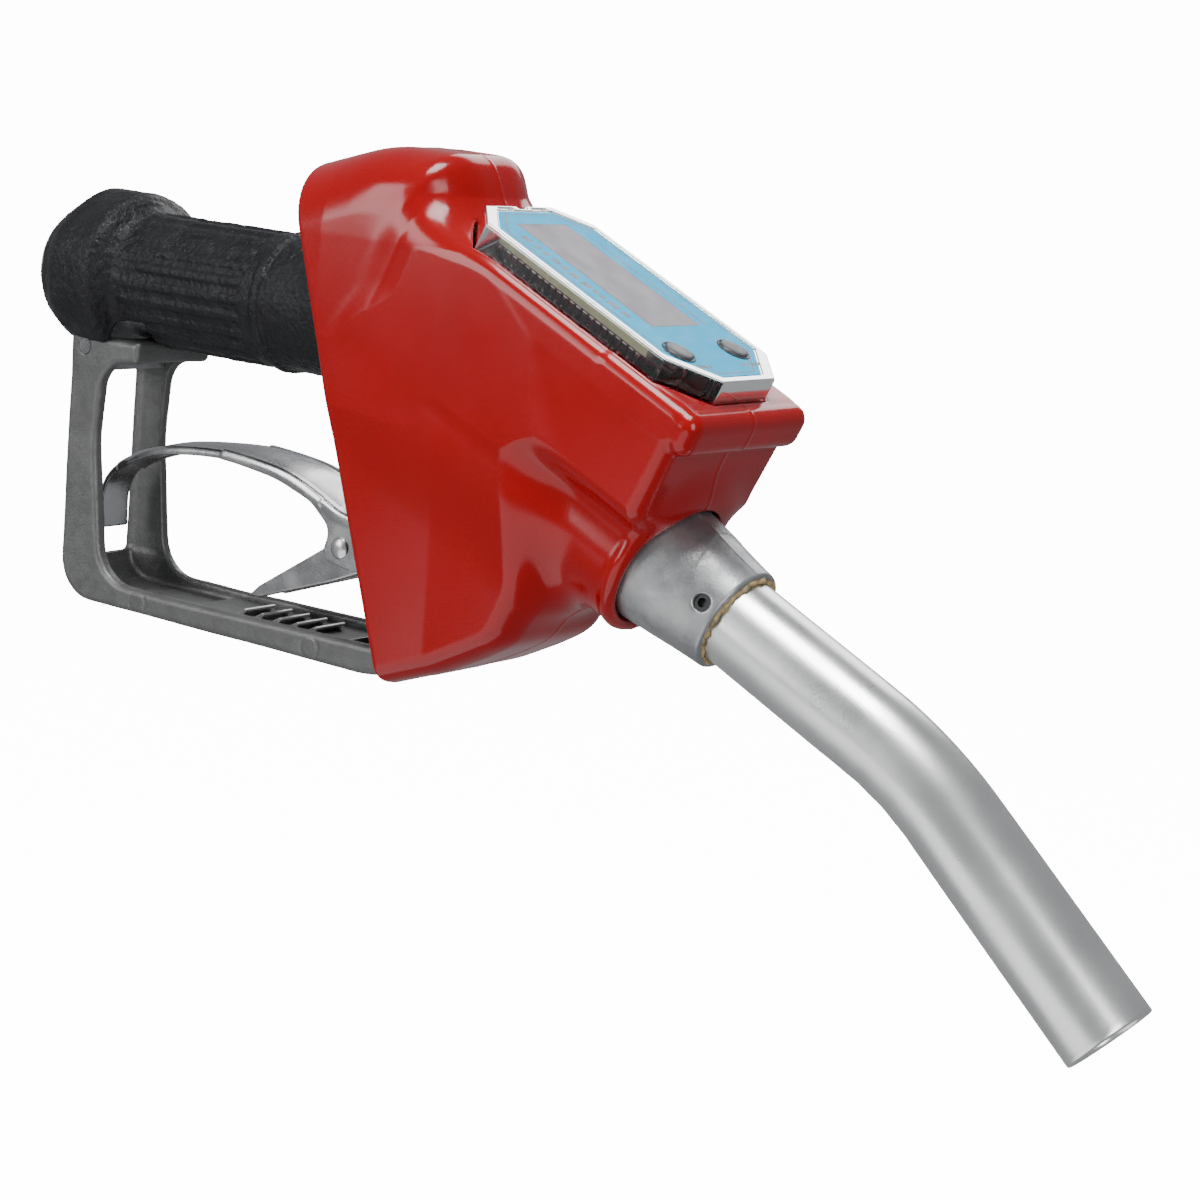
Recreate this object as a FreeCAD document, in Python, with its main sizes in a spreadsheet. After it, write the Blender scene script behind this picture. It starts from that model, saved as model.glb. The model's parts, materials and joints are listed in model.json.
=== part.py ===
"""Automatic fuel nozzle with an in-line digital meter, as an assembly of separate pieces.

Frame: millimetres, +Z up, +X along the handle towards the spout, origin at the centre of the
hose-inlet face. The spout, the meter and its display lie in a second, tilted frame: its origin is
the centre of the spout adapter's front face and its +X runs along the outflow, flow_tilt degrees
below the handle. Pieces built in that frame are placed with FLOW.
"""
import FreeCAD, Part
import math
import os
import re
from FreeCAD import Placement, Rotation, Vector

doc = FreeCAD.newDocument("fuel_nozzle")

# ---------------------------------------------------------------- driving dimensions

SIZES = {
    # handle and inlet
    "handle_radius": 17.5, "handle_bore": 12, "handle_length": 130,
    "collar_radius": 18.4, "collar_length": 35, "thread_radius": 15.1, "thread_length": 22,
    "grip_radius": 20.4, "grip_length": 119, "grip_collar_radius": 26.8, "grip_collar_length": 33,
    # main valve, on a vertical axis
    "valve_x": 141, "barrel_radius": 21.5, "barrel_top": 33, "barrel_bottom": -40,
    "chamber_radius": 16, "seat_top": -13, "seat_thickness": 4, "seat_hole": 11,
    "cap_thread_radius": 17.5, "chamber_floor": -31, "chamber_roof": 22,
    "stem_radius": 3, "stem_bottom": -56.8, "packing_radius": 6,
    # tilted outflow frame
    "flow_tilt": 24.8, "flow_x": 257, "flow_z": -65.2,
    "duct_radius": 18, "duct_bore": 13, "duct_front": -60, "duct_rear": -112, "socket_radius": 15.5,
    # shut-off stack: diaphragm, latch pin and release plunger on one axis
    "stack_x": -80, "stack_radius": 16.5, "stack_top": 26, "tower_radius": 9, "tower_bottom": -30,
    "plunger_radius": 5, "plunger_collar": 7.2, "pivot_drop": -34, "pivot_pin_radius": 2.5,
    # guard
    "guard_half_width": 16, "guard_wall": 4, "guard_pin_x": 19, "guard_pin_z": -22,
    "guard_screw_x": 182.4, "guard_screw_z": -66, "guard_screw_radius": 1.8, "lug_half_width": 11.8,
    # lever and latch
    "lever_half_width": 11.2, "lever_plate": 1.6, "latch_half_width": 6.6, "latch_plate": 1.5,
    "rivet_x": 125.2, "rivet_z": -67.8, "rivet_radius": 2.5,
    # meter
    "meter_radius": 20, "meter_front": -30, "rotor_x": -58, "rotor_length": 8, "rotor_radius": 12.4,
    "shaft_radius": 1.5,
    "housing_rear": -120.1, "housing_front": -30.3, "housing_half_width": 24.5,
    "housing_top": 56.7, "housing_bottom": 47.2,
    "button_x": -45.5, "button_radius": 4.2,
    # spout
    "adapter_spigot": 15, "spout_radius": 12.7, "spout_wall": 2, "spout_socket": 19.5,
    "spout_straight": 47.7, "spout_bend_radius": 111.4, "spout_bend": 16.93, "spout_tip": 66.1,
    # splash cover
    "cover_half_width": 28.5, "cover_box_half_width": 26, "cover_wall": 2.2,
    # running clearance of shafts in their bores
    "running_gap": 0.06,
}

sheet = doc.addObject("Spreadsheet::Sheet", "Sizes")
for row, (alias, amount) in enumerate(SIZES.items(), start=1):
    sheet.set(f"A{row}", alias)
    sheet.set(f"B{row}", str(amount))
    sheet.setAlias(f"B{row}", alias)
doc.recompute()

FLOW = Placement(Vector(SIZES["flow_x"], 0, SIZES["flow_z"]),
                 Rotation(Vector(0, 1, 0), SIZES["flow_tilt"]))
TURN = {
    "x": Rotation(Vector(0, 1, 0), 90),
    "y": Rotation(Vector(1, 0, 0), -90),
    "z": Rotation(),
}


# ---------------------------------------------------------------- helpers

def bound(formula):
    """A formula of sheet names as an expression, such as Sizes.grip_radius + 2."""
    return re.sub(r"[a-z][a-z_]+", lambda word: "Sizes." + word.group(), str(formula))


def bind(shape, **sizes):
    for name, formula in sizes.items():
        shape.setExpression(name, bound(formula))
    return shape


def put(shape, at, turn=Rotation()):
    shape.Placement = Placement(Vector(), turn)
    for axis, formula in zip("xyz", at):
        shape.setExpression(f"Placement.Base.{axis}", bound(formula))
    return shape


def cylinder(radius, length, at=(0, 0, 0), axis="x"):
    """A cylinder from at, along axis."""
    shape = bind(doc.addObject("Part::Cylinder", "Cylinder"), Radius=radius, Height=length)
    return put(shape, at, TURN[axis])


def cross_pin(radius, half_length, x, z):
    """A cylinder along Y, centred on Y = 0."""
    return cylinder(radius, f"2 * ({half_length})", (x, f"-({half_length})", z), "y")


def cone(start_radius, end_radius, length, at=(0, 0, 0), axis="x"):
    shape = doc.addObject("Part::Cone", "Cone")
    bind(shape, Radius1=start_radius, Radius2=end_radius, Height=length)
    return put(shape, at, TURN[axis])


def block(low, high):
    """A box between two corners; every coordinate is a formula."""
    lengths = [f"({far}) - ({near})" for near, far in zip(low, high)]
    shape = doc.addObject("Part::Box", "Box")
    bind(shape, Length=lengths[0], Width=lengths[1], Height=lengths[2])
    return put(shape, low)


def ball(radius, at):
    return put(bind(doc.addObject("Part::Sphere", "Sphere"), Radius=radius), at)


def ring(middle_radius, wire_radius, at, axis="x"):
    """An O-ring or a rounded ring."""
    shape = doc.addObject("Part::Torus", "Torus")
    bind(shape, Radius1=middle_radius, Radius2=wire_radius)
    return put(shape, at, TURN[axis])


def fuse(*shapes):
    joined = doc.addObject("Part::MultiFuse", "Fuse")
    joined.Shapes = list(shapes)
    return joined


def cut(base, *tools):
    left = doc.addObject("Part::Cut", "Cut")
    left.Base = base
    left.Tool = tools[0] if len(tools) == 1 else fuse(*tools)
    return left


def common(base, tool):
    shared = doc.addObject("Part::Common", "Common")
    shared.Base = base
    shared.Tool = tool
    return shared


def group(*shapes):
    """Separate solids that share one node."""
    together = doc.addObject("Part::Compound", "Group")
    together.Links = list(shapes)
    return together


def tube(outer, inner, length, at=(0, 0, 0), axis="x"):
    return cut(cylinder(outer, length, at, axis), cylinder(inner, length, at, axis))


def outline_edges(corners):
    """Lines and tangent arcs of a closed outline. A corner is (u, v) or (u, v, radius)."""
    rounded = []
    for index, (u, v, *radius) in enumerate(corners):
        here = Vector(u, v, 0)
        before = Vector(*corners[index - 1][:2], 0)
        after = Vector(*corners[(index + 1) % len(corners)][:2], 0)
        back = (before - here).normalize()
        ahead = (after - here).normalize()
        if not radius:
            rounded.append((here, None, here))
            continue
        half_angle = back.getAngle(ahead) / 2
        reach = radius[0] / math.tan(half_angle)
        centre = here + (back + ahead).normalize() * (radius[0] / math.sin(half_angle))
        middle = centre + (here - centre).normalize() * radius[0]
        rounded.append((here + back * reach, middle, here + ahead * reach))
    edges = []
    for index, (first, middle, last) in enumerate(rounded):
        if middle is not None:
            edges.append(Part.Arc(first, middle, last))
        edges.append(Part.LineSegment(last, rounded[(index + 1) % len(rounded)][0]))
    return edges


def plate(corners, thickness, plane="XZ_Plane", level=0):
    """A body padded from an outline: about Y = 0 on the XZ plane, or up from level on the XY plane."""
    body = doc.addObject("PartDesign::Body", "Plate")
    sketch = body.newObject("Sketcher::SketchObject", "Outline")
    origin_plane = next(item for item in body.Origin.OriginFeatures if item.Role == plane)
    sketch.AttachmentSupport = [(origin_plane, "")]
    sketch.MapMode = "FlatFace"
    sketch.addGeometry(outline_edges(corners), False)
    pad = body.newObject("PartDesign::Pad", "Pad")
    pad.Profile = sketch
    pad.setExpression("Length", bound(thickness))
    pad.Midplane = plane == "XZ_Plane"
    body.Tip = pad
    return put(body, (0, 0, level))


def coil(wire_radius, middle_radius, length, turns, at, axis="z"):
    """A round-wire compression spring from at, along axis."""
    helix = doc.addObject("Part::Helix", "Helix")
    bind(helix, Radius=middle_radius, Height=length, Pitch=f"({length}) / {turns}")
    section = bind(doc.addObject("Part::Circle", "Wire"), Radius=wire_radius)
    put(section, (middle_radius, 0, 0), Rotation(Vector(1, 0, 0), 90))
    spring = doc.addObject("Part::Sweep", "Spring")
    spring.Sections = [section]
    spring.Spine = (helix, ["Edge1"])
    spring.Solid = True
    spring.Frenet = True
    return put(spring, at, TURN[axis])


def turned(shape, degrees, about=Vector(1, 0, 0), centre=Vector()):
    """The shape turned about an axis through centre."""
    spun = group(shape)
    spun.Placement = Placement(Vector(), Rotation(about, degrees), centre)
    return spun


def tilted(shape):
    """A shape built in the outflow frame, carried into the main frame."""
    moved = group(shape)
    moved.Placement = FLOW
    return moved


nodes = {}


def node(name, shape):
    """Name a finished piece; its label is its file's name."""
    shape.Label = name
    nodes[name] = shape


# ---------------------------------------------------------------- nozzle body and inlet

def make_nozzle_body():
    handle = cylinder("handle_radius", "handle_length")
    collar = cylinder("collar_radius", "collar_length")
    barrel = cylinder("barrel_radius", "barrel_top - barrel_bottom", ("valve_x", 0, "barrel_bottom"), "z")
    rear_lug = block((15.5, "-lug_half_width", -29), (26, "lug_half_width", -14))
    front_lug = block((179.5, "-lug_half_width", -74), (185.3, "lug_half_width", -40))
    duct = cylinder("duct_radius", "duct_front - duct_rear", ("duct_rear", 0, 0))
    housing = cylinder("stack_radius", 5.5, ("stack_x", 0, "stack_top - 5.5"), "z")
    core = cylinder(12, 14, ("stack_x", 0, "stack_top - 18"), "z")
    tower = cylinder("tower_radius", "-13 - tower_bottom", ("stack_x", 0, "tower_bottom"), "z")
    outside = fuse(handle, collar, barrel, rear_lug, front_lug, tilted(fuse(duct, housing, core, tower)))

    inlet_thread = cylinder("thread_radius", "thread_length")
    gasket_seat = cylinder("thread_radius - 0.6", 2.5, ("thread_length", 0, 0))
    passage = cylinder("handle_bore", "valve_x")
    above_seat = cylinder("chamber_radius", "chamber_roof - seat_top", ("valve_x", 0, "seat_top"), "z")
    seat = cylinder("seat_hole", "seat_thickness + 2", ("valve_x", 0, "seat_top - seat_thickness - 1"), "z")
    below_seat = cylinder("chamber_radius", "seat_top - seat_thickness - chamber_floor",
                          ("valve_x", 0, "chamber_floor"), "z")
    cap_bore = cylinder("cap_thread_radius", "barrel_top - chamber_roof", ("valve_x", 0, "chamber_roof"), "z")
    link = cylinder(6.5, 36, ("valve_x", 0, -24))
    stem_hole = cylinder("stem_radius + 0.4", 20, ("valve_x", 0, "barrel_bottom - 1"), "z")
    packing_pocket = cylinder("packing_radius", 6.5, ("valve_x", 0, "barrel_bottom"), "z")
    rear_pin_hole = cross_pin("pivot_pin_radius", 14, "guard_pin_x", "guard_pin_z")
    screw_hole = cross_pin("guard_screw_radius", 14, "guard_screw_x", "guard_screw_z")

    duct_bore = cylinder("duct_bore", "duct_front + 100", (-100, 0, 0))
    socket = cylinder("socket_radius", 8, ("duct_front - 8", 0, 0))
    diaphragm_room = cylinder(11.5, 3.5, ("stack_x", 0, "stack_top - 3.5"), "z")
    pin_sleeve = cylinder(4, 34, ("stack_x", 0, -17), "z")
    pin_hole = cylinder("shaft_radius + 0.3", 50, ("stack_x", 0, -24), "z")
    plunger_bore = cylinder("plunger_collar + running_gap", 13.5, ("stack_x", 0, "tower_bottom"), "z")
    hollow = cut(fuse(duct_bore, socket, diaphragm_room), pin_sleeve)
    hollow_flow = tilted(fuse(hollow, pin_hole, plunger_bore, *screw_shanks()))
    body = cut(outside, inlet_thread, gasket_seat, passage, above_seat, seat, below_seat, cap_bore, link,
               stem_hole, packing_pocket, rear_pin_hole, screw_hole, hollow_flow)
    node("nozzle_body", body)


def make_inlet():
    node("inlet_gasket", tube("thread_radius - 0.6", "handle_bore", 2.5, ("thread_length", 0, 0)))
    rim = tube("handle_bore - 0.1", "handle_bore - 1.6", 6, (30, 0, 0))
    bars = []
    for step in range(-4, 5):
        bars.append(block((30, -11.8, 2.4 * step - 0.3), (30.8, 11.8, 2.4 * step + 0.3)))
        bars.append(block((30.5, 2.4 * step - 0.3, -11.8), (31.3, 2.4 * step + 0.3, 11.8)))
    mesh = common(fuse(*bars), cylinder("handle_bore - 1", 3, (29, 0, 0)))
    node("inlet_screen", fuse(rim, mesh))


def make_grip():
    grip = cylinder("grip_radius", "grip_length - 4", (4, 0, 0))
    rear_bevel = cone(19.5, "grip_collar_radius", 12)
    collar = cylinder("grip_collar_radius", "grip_collar_length - 19", (12, 0, 0))
    neck = cone("grip_collar_radius", "grip_radius", 9, ("grip_collar_length - 7", 0, 0))
    front_lip = cylinder("grip_radius + 0.9", 3, ("grip_length - 27", 0, 0))
    outside = fuse(grip, rear_bevel, collar, neck, front_lip)
    ribs = []
    for step in range(24):
        groove = block((37, -0.7, "grip_radius - 0.7"), (90, 0.7, "grip_radius + 2"))
        ribs.append(turned(groove, 15 * step + 7.5))
    casting = fuse(cylinder("collar_radius", "collar_length + 0.5"), cylinder("handle_radius", "grip_length"))
    notch = block((11.5, -16.3, -30), (44, 16.3, -12))
    node("grip_sleeve", cut(outside, casting, notch, *ribs))


# ---------------------------------------------------------------- guard, rack and their fasteners

def make_guard():
    outer = [(12.5, -18.5), (12.5, -102, 13), (142, -102, 60), (164, -98, 20), (189, -80, 12), (189, -62, 3),
             (179, -62), (179, -78, 8), (162, -92.6, 20), (140, -93.2, 60), (62, -94.7, 60),
             (30.5, -94.7, 13),
             (25.2, -52, 60), (27, -27, 9), (42, -25, 2), (42, -18.5)]
    channel = [(15.5, -10), (15.5, -98.5, 9), (142, -98.5, 60), (162, -93.5, 14), (185.5, -78, 8),
               (185.5, -50), (80, -50)]
    side = plate(outer, "2 * guard_half_width")
    inside = plate(channel, "2 * (guard_half_width - guard_wall)")
    leg_gap = block((5, "guard_wall - guard_half_width", -90), (28, "guard_half_width - guard_wall", -30))
    holes = fuse(cross_pin("pivot_pin_radius", 18, "guard_pin_x", "guard_pin_z"),
                 cross_pin("guard_screw_radius", 18, "guard_screw_x", "guard_screw_z"))
    node("hand_guard", cut(side, inside, leg_gap, holes))
    node("guard_rear_pin", cross_pin("pivot_pin_radius", "guard_half_width", "guard_pin_x", "guard_pin_z"))
    shank = cross_pin("guard_screw_radius", "guard_half_width", "guard_screw_x", "guard_screw_z")
    heads = [cylinder("guard_screw_radius + 1.4", 1.8, ("guard_screw_x", start, "guard_screw_z"), "y")
             for start in ("-guard_half_width - 1.8", "guard_half_width")]
    node("guard_front_screw", fuse(shank, *heads))


def make_rack():
    teeth = [(64, -98.5), (64, -96.6)]
    for step in range(5):
        start = 78 + 8 * step
        teeth += [(start, -96.6), (start + 3, -94.2), (start + 5, -94.2)]
    teeth += [(124, -96.6), (124, -98.5)]
    node("latch_rack", plate(teeth, "2 * (guard_half_width - guard_wall)"))


# ---------------------------------------------------------------- lever, latch and pivots

def pivot_point():
    return FLOW.multVec(Vector(SIZES["stack_x"], 0, SIZES["pivot_drop"]))


def make_lever():
    pivot = pivot_point()
    web = [(19, -79, 0.8), (18.6, -66, 8), (26, -57.5, 14), (46, -49, 60), (78, -45.2, 70), (104, -47.6, 50),
           (126, -57.2, 20), (156, -58.2, 0.5), (156, -60.0, 0.5), (125.5, -59.0, 18), (103.5, -49.4, 48),
           (78, -47.0, 68), (46.5, -50.8, 58), (27.3, -59, 12), (20.6, -67, 6), (21, -79, 0.8)]
    skirt = [(76, -46.2), (104, -48.5, 50), (126, -58, 20), (156, -59), (177, -56, 4), (177, -69, 6),
             (130, -74, 5), (117.5, -72, 3), (120.5, -63, 5), (112, -56, 10), (98, -51.6, 40), (76, -48.8)]
    saddle_plan = [(16, -6), (30, -6, 10), (52, -11.2, 10), (160, -11.2), (160, 11.2), (52, 11.2, 10),
                   (30, 6, 10), (16, 6)]
    top = common(plate(web, "2 * lever_half_width"), plate(saddle_plan, 60, "XY_Plane", -90))
    walls = cut(plate(skirt, "2 * lever_half_width"), plate(skirt, "2 * (lever_half_width - lever_plate)"))
    holes = fuse(cross_pin("pivot_pin_radius", 14, pivot.x, pivot.z),
                 cross_pin("rivet_radius", 14, "rivet_x", "rivet_z"))
    node("trigger_lever", cut(fuse(top, walls), holes))
    node("lever_pivot_pin", cross_pin("pivot_pin_radius", "lever_half_width", pivot.x, pivot.z))


def make_latch():
    side = [(85.5, -90), (89.5, -86.2), (114, -70.5, 6), (125, -62.8, 5), (132, -66, 4), (129.5, -75, 4),
            (119, -79.5, 6), (90, -89.8)]
    inner = [(81, -95), (89.5, -87.9), (114, -72.2, 6), (121, -64), (134, -60), (134, -84), (100, -100)]
    profile = plate(side, "2 * latch_half_width")
    inside = plate(inner, "2 * (latch_half_width - latch_plate)")
    collars = tube("rivet_radius + 2", "rivet_radius + running_gap", "2 * latch_half_width",
                   ("rivet_x", "-latch_half_width", "rivet_z"), "y")
    hole = cross_pin("rivet_radius + running_gap", 10, "rivet_x", "rivet_z")
    node("hold_open_latch", cut(fuse(cut(profile, inside), collars), hole))
    shank = cross_pin("rivet_radius", "lever_half_width", "rivet_x", "rivet_z")
    far_head = cone(3.5, 2.2, 1.3, ("rivet_x", "lever_half_width", "rivet_z"), "y")
    near_head = put(cone(3.5, 2.2, 1.3), ("rivet_x", "-lever_half_width", "rivet_z"),
                    Rotation(Vector(1, 0, 0), 90))
    node("latch_rivet", fuse(shank, far_head, near_head))
    seat = ("rivet_x", "latch_half_width + 0.4", "rivet_z")
    node("latch_spring", cut(cone(6, 3.6, 2.1, seat, "y"), cone(5.3, 2.9, 2.1, seat, "y")))


# ---------------------------------------------------------------- main valve

def make_main_valve():
    stem = cylinder("stem_radius", "2 - stem_bottom - stem_radius",
                    ("valve_x", 0, "stem_bottom + stem_radius"), "z")
    tip = ball("stem_radius", ("valve_x", 0, "stem_bottom + stem_radius"))
    node("valve_stem", fuse(stem, tip))
    disc = tube("seat_hole + 2.5", "stem_radius", 2, ("valve_x", 0, "seat_top + 0.05"), "z")
    node("valve_seal_disc", disc)
    plate_part = cylinder(14, 3, ("valve_x", 0, "seat_top + 2.05"), "z")
    boss = cylinder(6, 9, ("valve_x", 0, "seat_top + 5"), "z")
    bore = cylinder("stem_radius", 20, ("valve_x", 0, "seat_top"), "z")
    node("valve_poppet", cut(fuse(plate_part, boss), bore))
    node("main_spring", coil(1.1, 9.5, 26.6, 4.5, ("valve_x", 0, "seat_top + 6.3")))
    plug = tube("cap_thread_radius - 0.05", 13, 9, ("valve_x", 0, "barrel_top - 9"), "z")
    flange = cylinder("barrel_radius - 1", 4, ("valve_x", 0, "barrel_top"), "z")
    hexagon = doc.addObject("Part::Prism", "Hexagon")
    bind(hexagon, Circumradius=11, Height=5)
    put(hexagon, ("valve_x", 0, "barrel_top + 4"))
    groove = tube("cap_thread_radius + 1", "cap_thread_radius - 2", 2, ("valve_x", 0, "barrel_top - 6"), "z")
    spring_seat = cylinder(13, 1, ("valve_x", 0, "barrel_top - 10"), "z")
    node("valve_cap", cut(fuse(plug, flange, hexagon), groove, spring_seat))
    node("valve_cap_oring", ring("cap_thread_radius - 1", 1, ("valve_x", 0, "barrel_top - 5"), "z"))


def make_packing():
    hexagon = doc.addObject("Part::Prism", "Hexagon")
    bind(hexagon, Circumradius=8.5, Height=5)
    put(hexagon, ("valve_x", 0, "barrel_bottom - 5"))
    thread = cylinder("packing_radius", 3.4, ("valve_x", 0, "barrel_bottom"), "z")
    bore = cylinder("stem_radius + running_gap", 12, ("valve_x", 0, "barrel_bottom - 6"), "z")
    node("packing_nut", cut(fuse(hexagon, thread), bore))
    node("stem_packing", tube("packing_radius", "stem_radius + running_gap", 3,
                              ("valve_x", 0, "barrel_bottom + 3.5"), "z"))


# ---------------------------------------------------------------- automatic shut-off

def make_plunger():
    rod = cylinder("plunger_radius", 18, ("stack_x", 0, -38), "z")
    collar = cylinder("plunger_collar", 2.8, ("stack_x", 0, -20.4), "z")
    pin_bore = cylinder("shaft_radius + 0.3", 9, ("stack_x", 0, -26), "z")
    pivot_hole = cross_pin("pivot_pin_radius + running_gap", 10, "stack_x", "pivot_drop")
    pockets = [around_stack(cylinder(1.2, 10, ("stack_x", 0, -19)), 120 * step) for step in range(3)]
    node("release_plunger", tilted(cut(fuse(rod, collar), pin_bore, pivot_hole, *pockets)))
    balls = [around_stack(ball(1.1, ("stack_x + 4.8", 0, -19)), 120 * step) for step in range(3)]
    node("plunger_balls", tilted(group(*balls)))
    node("plunger_bush", tilted(tube("plunger_collar + running_gap", "plunger_radius + running_gap", 2,
                              ("stack_x", 0, "tower_bottom"), "z")))
    node("plunger_spring", tilted(coil(0.4, 6.1, 6.6, 3, ("stack_x", 0, -27.5))))


def around_stack(shape, degrees):
    """The shape turned about the shut-off axis."""
    return turned(shape, degrees, Vector(0, 0, 1), Vector(SIZES["stack_x"], 0, 0))


SCREW_ANGLES = (45, 135, 225, 315)


def around_screws(radius, length, level):
    """A cylinder at each of the four screws of the diaphragm cover."""
    place = ("stack_x + stack_radius - 2.5", 0, level)
    return [around_stack(cylinder(radius, length, place, "z"), angle) for angle in SCREW_ANGLES]


def screw_shanks():
    return around_screws(1.1, 8, "stack_top - 4")


def make_diaphragm():
    on_axis = ("stack_x", 0, "stack_top")
    centre_hole = cylinder("shaft_radius", 3, ("stack_x", 0, "stack_top - 1"), "z")
    disc = cylinder("stack_radius", 1.2, on_axis, "z")
    node("diaphragm", tilted(cut(disc, centre_hole, *screw_shanks())))
    lid = fuse(cylinder("stack_radius", 2.8, ("stack_x", 0, "stack_top + 1.2"), "z"),
               cone(11.5, 10, 2.8, ("stack_x", 0, "stack_top + 4"), "z"))
    room = cylinder(9.5, 4, ("stack_x", 0, "stack_top + 1.2"), "z")
    node("diaphragm_cover", tilted(cut(lid, room, *screw_shanks())))
    node("diaphragm_spring", tilted(coil(0.35, 5.5, 2.9, 2.5, ("stack_x", 0, "stack_top + 1.7"))))
    heads = around_screws(1.8, 1.5, "stack_top + 4")
    screws = [fuse(shank, head) for shank, head in zip(screw_shanks(), heads)]
    node("diaphragm_screws", tilted(group(*screws)))
    pin = cylinder("shaft_radius", "stack_top + 25.2", ("stack_x", 0, -24), "z")
    flange = cylinder(5, 1, ("stack_x", 0, "stack_top - 1"), "z")
    node("latch_pin", tilted(fuse(pin, flange)))


# ---------------------------------------------------------------- turbine meter

def make_meter_body():
    outside = fuse(cylinder("meter_radius", "meter_front - duct_front", ("duct_front", 0, 0)),
                   cylinder("socket_radius", 8, ("duct_front - 8", 0, 0)),
                   block((-56, -12, 10), (-34, 12, 35)))
    bore = cylinder("duct_bore", 40, ("duct_front - 8", 0, 0))
    front_thread = cylinder("adapter_spigot", 11, ("meter_front - 11", 0, 0))
    sensor_hole = cylinder(3.05, 22, ("rotor_x + 5", 0, 14.5), "z")
    node("meter_body", tilted(cut(outside, bore, front_thread, sensor_hole)))
    node("pickup_sensor", tilted(cylinder(3, 20, ("rotor_x + 5", 0, 14.6), "z")))


def rotor_support(x):
    rim = tube("duct_bore - 0.02", "duct_bore - 1.5", 3.5, (x, 0, 0))
    hub = cylinder(3.2, 3.5, (x, 0, 0))
    spokes = [turned(block((x, -0.6, 2.5), (f"{x} + 3.5", 0.6, "duct_bore - 1")), 120 * step)
              for step in range(3)]
    return cut(fuse(rim, hub, *spokes), cylinder("shaft_radius + running_gap", 3.5, (x, 0, 0)))


def make_turbine():
    hub = cylinder(4, "rotor_length", ("rotor_x", 0, 0))
    blades = []
    for step in range(6):
        blade = doc.addObject("Part::Box", "Blade")
        bind(blade, Length="rotor_length - 1", Width=0.8, Height="rotor_radius - 3.4")
        pitch = Rotation(Vector(0, 0, 1), 28)
        middle = pitch.multVec(Vector(SIZES["rotor_length"] / 2 - 0.5, 0.4, 0))
        centre = SIZES["rotor_x"] + SIZES["rotor_length"] / 2
        around = Placement(Vector(), Rotation(Vector(1, 0, 0), 60 * step))
        blade.Placement = around.multiply(Placement(Vector(centre - middle.x, -middle.y, 3), pitch))
        blades.append(blade)
    swept = common(fuse(*blades), cylinder("rotor_radius", "rotor_length", ("rotor_x", 0, 0)))
    bore = cylinder("shaft_radius", "rotor_length", ("rotor_x", 0, 0))
    node("turbine_rotor", tilted(cut(fuse(hub, swept), bore)))
    node("rotor_shaft", tilted(cylinder("shaft_radius", 20, ("rotor_x - 6", 0, 0))))
    node("rotor_support_rear", tilted(rotor_support(-64.5)))
    node("rotor_support_front", tilted(rotor_support(-47)))


# ---------------------------------------------------------------- display unit

def octagon(inset):
    """Plan of the display housing, moved in by inset, with its four cut corners."""
    rear = SIZES["housing_rear"] + inset
    front = SIZES["housing_front"] - inset
    side = SIZES["housing_half_width"] - inset
    rear_cut = 9.6
    front_cut = 12.0
    return [(rear, -side + rear_cut), (rear + rear_cut, -side), (front - front_cut, -side),
            (front, -side + front_cut), (front, side - front_cut), (front - front_cut, side),
            (rear + rear_cut, side), (rear, side - rear_cut)]


BUTTONS = {"near_button": -14.1, "far_button": 11.8}
PIN_PITCH = 2.54
SCREW_PLACES = [(-108.5, -14.5), (-108.5, 14.5), (-46.5, -18.6), (-46.5, 18.6)]


def make_housing():
    shell = plate(octagon(0), "housing_top - housing_bottom", "XY_Plane", "housing_bottom")
    room = plate(octagon(1.5), "housing_top - housing_bottom - 1.6", "XY_Plane", "housing_bottom")
    recess = plate(octagon(2.6), 1, "XY_Plane", "housing_top - 0.5")
    holes = [cylinder("button_radius + 0.25", 4, ("button_x", y, "housing_top - 3"), "z")
             for y in BUTTONS.values()]
    notches = [block(("housing_rear - 1", y - 1.6, "housing_top - 2.2"),
                     ("housing_rear + 1.4", y + 1.6, "housing_top + 1")) for y in (-7, 7)]
    node("clear_housing", tilted(cut(shell, room, recess, *holes, *notches)))
    label = plate(octagon(2.9), 0.35, "XY_Plane", "housing_top - 0.48")
    window = block((-110.1, -10.9, "housing_top - 1"), (-58.1, 10.9, "housing_top + 1"))
    label_holes = [cylinder("button_radius + 0.25", 4, ("button_x", y, "housing_top - 3"), "z")
                   for y in BUTTONS.values()]
    node("face_label", tilted(cut(label, window, *label_holes)))
    node("housing_gasket", tilted(cut(plate(octagon(0.6), 0.8, "XY_Plane", "housing_bottom - 0.8"),
                               plate(octagon(3.2), 0.8, "XY_Plane", "housing_bottom - 0.8"))))


def make_tray():
    shell = plate(octagon(0.6), 11.4, "XY_Plane", 35)
    room = plate(octagon(2.6), 11, "XY_Plane", 37)
    sensor_hole = cylinder(3.4, 5, ("rotor_x + 5", 0, 34), "z")
    posts = [cylinder(2.4, 10.6, (x, y, 37), "z") for x, y in SCREW_PLACES]
    screw_holes = [cylinder(1, 6, (x, y, 42.5), "z") for x, y in SCREW_PLACES]
    tray = fuse(cut(shell, room, sensor_hole), *posts)
    node("electronics_tray", tilted(cut(tray, *screw_holes)))


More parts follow.
